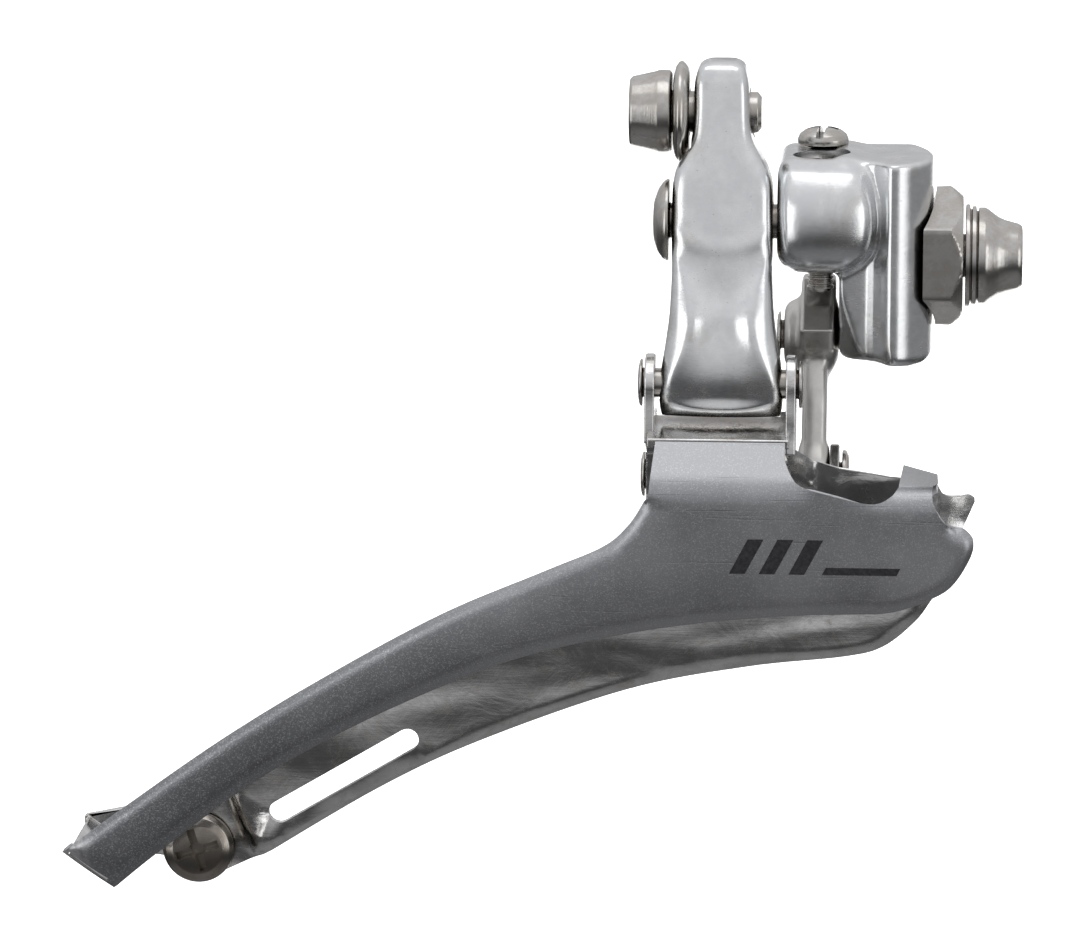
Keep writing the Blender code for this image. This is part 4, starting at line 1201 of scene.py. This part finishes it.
INNER_LOWER = smooth([(1.4, -35.2), (0.2, -37.2), (-1.5, -39.5), (-4.9, -42.3), (-9.2, -43.5),
                      (-19.8, -44.8), (-33.1, -47.6), (-49.4, -53.7), (-60.7, -59.3),
                      (-73.8, -67.4)])


def inner_plate_point(s, t):
    """Where a point of the inner plate's pattern ends up: facets at the top, a step at the tail."""
    facets = 0.9 * min(1.0, max(0.0, (-s - 9.7) / 3.1))
    facets += 3.2 * max(0.0, min(-s, 15.3) - 12.8) / 2.5
    y = INNER_FACE - facets * ease(t, -27.0, -22.5) * ease(s, -17.2, -15.3)
    past_step = -s - 74.7 - 0.41 * (t + 66.7)
    y += TAIL_STEP * ease(past_step, -1.3, 1.0)
    y += 1.6 * ease(s, 0.6, 6.0) * ease(t, -36.0, -30.0)
    return (s, y + lip(distance_to(INNER_LOWER, s, t), 1.7), t)


def slot_outline(start, end, radius):
    angle = math.degrees(math.atan2(end[1] - start[1], end[0] - start[0]))
    return arc(end, radius, angle - 90.0, angle + 90.0, 10) + \
        arc(start, radius, angle + 90.0, angle + 270.0, 10)


def make_inner_plate():
    top = [(-30.6, -18.4), (-30.6, -27.5), (-36.0, -33.5), (-42.0, -36.8)]
    upper = smooth([(-42.0, -36.8), (-53.0, -41.8), (-66.0, -48.8), (-79.0, -58.0),
                    (-84.0, -61.6)])
    flange = arc(TAIL_SCREW, 4.2, 150.0, 270.0, 12)
    front = [(2.0, -32.5), (3.6, -29.0), (4.95, -25.9), (4.9, -25.4)]
    front += smooth([(4.4, -25.1), (3.4, -25.25), (2.3, -25.15), (1.4, -24.7), (0.7, -23.4)])
    front += [(-4.3, -23.1), (-9.7, -22.2), (-12.8, -21.1), (-15.2, -18.9)]
    outline = top + upper[1:] + flange + list(reversed(INNER_LOWER)) + front
    slot = slot_outline((-71.7, -62.0), (-57.4, -53.5), 1.25)
    made = sheet_metal(outline, [slot], inner_plate_point, SHEET_STEP)
    finish_object("inner_plate", made, CHROME, "cage", 50.0, node="inner_cage_plate")


def make_bracket(name, outline, left, right, rounding=0.22):
    """A piece of the inner plate's sheet, bent up so that it lies across X."""
    made = prism(outline, left, right, "X")
    soften(finish_object(name, made, CHROME, "cage"), rounding)


def make_ears():
    """Web and ears of the inner plate, bent up from the same sheet."""
    web_top = -17.6
    y2, z2 = PIVOT_2
    y4, z4 = PIVOT_4
    web = [(-17.1, web_top - SHEET), (-17.1, web_top), (INNER_FACE + 0.6, web_top + 1.1),
           (INNER_FACE + 0.8, web_top - 1.4), (INNER_FACE + 0.2, web_top - 0.9)]
    make_bracket("cage_web", web, -30.6, -15.2, 0.2)
    left = arc((y2, z2), 3.2, 60.0, 190.0, 20) + [(-14.6, web_top - SHEET)]
    left += [(-10.0, web_top - 3.0), (-9.3, z4 - 2.0)] + arc((y4, z4), 3.2, 240.0, 390.0, 20)
    make_bracket("left_ear", left, -31.05, -29.95)
    right = arc((y2, z2), 3.2, 10.0, 190.0, 20)
    right += [(-14.6, web_top - 2.2), (-12.0, web_top - 2.6), (-9.0, web_top - 1.0)]
    make_bracket("right_ear", right, -15.7, -14.6)
    rear = [(INNER_FACE + 0.2, z4 - 2.6), (y4, z4 - 3.6)]
    rear += arc((y4, z4), 3.6, -60.0, 90.0, 20) + [(INNER_FACE + 0.2, z4 + 1.3)]
    make_bracket("rear_ear", rear, -11.0, -9.95)


def make_mark():
    """A generic printed mark: three slanted bars and a line, in place of any lettering."""
    made = bmesh.new()
    y = OUTER_FACE - 0.03
    low = -31.2
    bars = [(x, 1.7, 3.8, 2.0) for x in (-21.4, -18.2, -15.0)]
    line = (-11.4, 8.0, 0.8, 0.4)
    for x, width, height, lean in bars + [line]:
        corners = [(x, low), (x + width, low), (x + width + lean, low + height),
                   (x + lean, low + height)]
        made.faces.new([made.verts.new((u, y, v)) for u, v in corners])
    finish_object("printed_bars", made, MARK, "cage")


def dress_spring():
    """The spring and its sleeve are the CAD model's own, with new materials."""
    for node, look in (("return_spring", WIRE), ("spring_sleeve", SLEEVE)):
        materials = frame["nodes"][node].data.materials
        materials.clear()
        materials.append(look)


# ---------------------------------------------------------------- stage, light, camera

SWEEP_HALF_WIDTH = 340.0        # wider, it would be mirrored all round the part
FLOOR = -520.0
# (radiance, place, size) of each softbox, in metres
SOFTBOXES = {
    "softbox_left": (1.25, (-0.52, -0.34, 0.00), (0.36, 0.50)),
    "softbox_right": (1.15, (0.52, -0.34, 0.02), (0.30, 0.50)),
    "softbox_above": (0.95, (-0.05, -0.10, 0.60), (0.60, 0.36)),
}
# grey levels of the room that the part mirrors, from straight down (0) to straight up (1)
ROOM_LEVELS = ((0.0, 0.24), (0.14, 0.18), (0.24, 0.05), (0.34, 0.09), (0.41, 0.22),
               (0.49, 0.40), (0.60, 0.56), (0.80, 0.72), (1.0, 0.80))


def make_stage():
    """A pale sweep: floor that curves up behind the part."""
    made = bmesh.new()
    rows = [(550.0, FLOOR), (800.0, FLOOR), (950.0, FLOOR + 40.0), (1050.0, FLOOR + 180.0),
            (1050.0, 0.0)]
    edges = [[made.verts.new((x, y, z)) for x in (-SWEEP_HALF_WIDTH, SWEEP_HALF_WIDTH)]
             for y, z in rows]
    for first, second in zip(edges, edges[1:]):
        made.faces.new((first[0], first[1], second[1], second[0]))
    sweep = new_object("sweep", made)
    sweep.data.materials.append(plain_stage())


def make_lights():
    """Soft area lights that face the part."""
    target = Vector((-0.03, 0.0, -0.02))
    for name, (radiance, place, size) in SOFTBOXES.items():
        lamp = bpy.data.lights.new(name, "AREA")
        lamp.shape = "RECTANGLE"
        lamp.size, lamp.size_y = size
        lamp.energy = radiance * math.pi * size[0] * size[1]
        holder = bpy.data.objects.new(name, lamp)
        holder.location = place
        holder.rotation_euler = (target - Vector(place)).to_track_quat("-Z", "Y").to_euler()
        bpy.context.scene.collection.objects.link(holder)


def make_world():
    """A grey room that is seen in the metal, and plain white where nothing is in the way."""
    world = bpy.data.worlds.new("studio")
    bpy.context.scene.world = world
    world.use_nodes = True
    tree = world.node_tree
    room = tree.nodes["Background"]
    coordinates = tree.nodes.new("ShaderNodeTexCoord")
    split = tree.nodes.new("ShaderNodeSeparateXYZ")
    remap = tree.nodes.new("ShaderNodeMapRange")
    remap.inputs["From Min"].default_value = -1.0
    ramp = tree.nodes.new("ShaderNodeValToRGB")
    while len(ramp.color_ramp.elements) < len(ROOM_LEVELS):
        ramp.color_ramp.elements.new(0.5)
    for element, (position, level) in zip(ramp.color_ramp.elements, ROOM_LEVELS):
        element.position = position
        element.color = (level, level, level * 1.02, 1.0)
    pale = tree.nodes.new("ShaderNodeBackground")
    pale.inputs["Color"].default_value = (1.0, 1.0, 1.0, 1.0)
    rays = tree.nodes.new("ShaderNodeLightPath")
    choice = tree.nodes.new("ShaderNodeMixShader")
    end = tree.nodes["World Output"]
    for source, target in ((coordinates.outputs["Generated"], split.inputs["Vector"]),
                           (split.outputs["Z"], remap.inputs["Value"]),
                           (remap.outputs["Result"], ramp.inputs["Fac"]),
                           (ramp.outputs["Color"], room.inputs["Color"]),
                           (rays.outputs["Is Camera Ray"], choice.inputs["Fac"]),
                           (room.outputs["Background"], choice.inputs[1]),
                           (pale.outputs["Background"], choice.inputs[2]),
                           (choice.outputs["Shader"], end.inputs["Surface"])):
        tree.links.new(source, target)
    bpy.context.scene.view_settings.view_transform = "Standard"


def make_camera():
    """A long lens on the outer side, a little ahead of the part and above it."""
    azimuth = math.radians(4.0)
    elevation = math.radians(11.5)
    forward = Vector((-math.sin(azimuth) * math.cos(elevation),
                      math.cos(azimuth) * math.cos(elevation), -math.sin(elevation)))
    lens = bpy.data.cameras.new("camera")
    lens.sensor_width = 36.0
    lens.lens = 197.0
    lens.dof.use_dof = False
    lens.clip_start = 0.01
    holder = bpy.data.objects.new("camera", lens)
    holder.location = Vector((1.64, -643.17, 106.14)) * MM
    holder.rotation_euler = forward.to_track_quat("-Z", "Y").to_euler()
    bpy.context.scene.collection.objects.link(holder)
    bpy.context.scene.camera = holder


make_body()
make_outer_link()
make_inner_link()
make_pins()
make_limit_screw("sunk_screw", "high_limit_screw", "high_limit")
make_limit_screw("proud_screw", "low_limit_screw", "low_limit")
make_clamp_bolt()
make_radius_washer()
make_thin_washer("washer_a", "flat_washer")
make_thin_washer("washer_b", "lock_washer")
make_cable_clamp()
make_outer_plate()
make_tail_wrap()
make_inner_plate()
make_ears()
make_mark()
make_tail_screw()
dress_spring()
make_stage()
make_lights()
make_world()
make_camera()
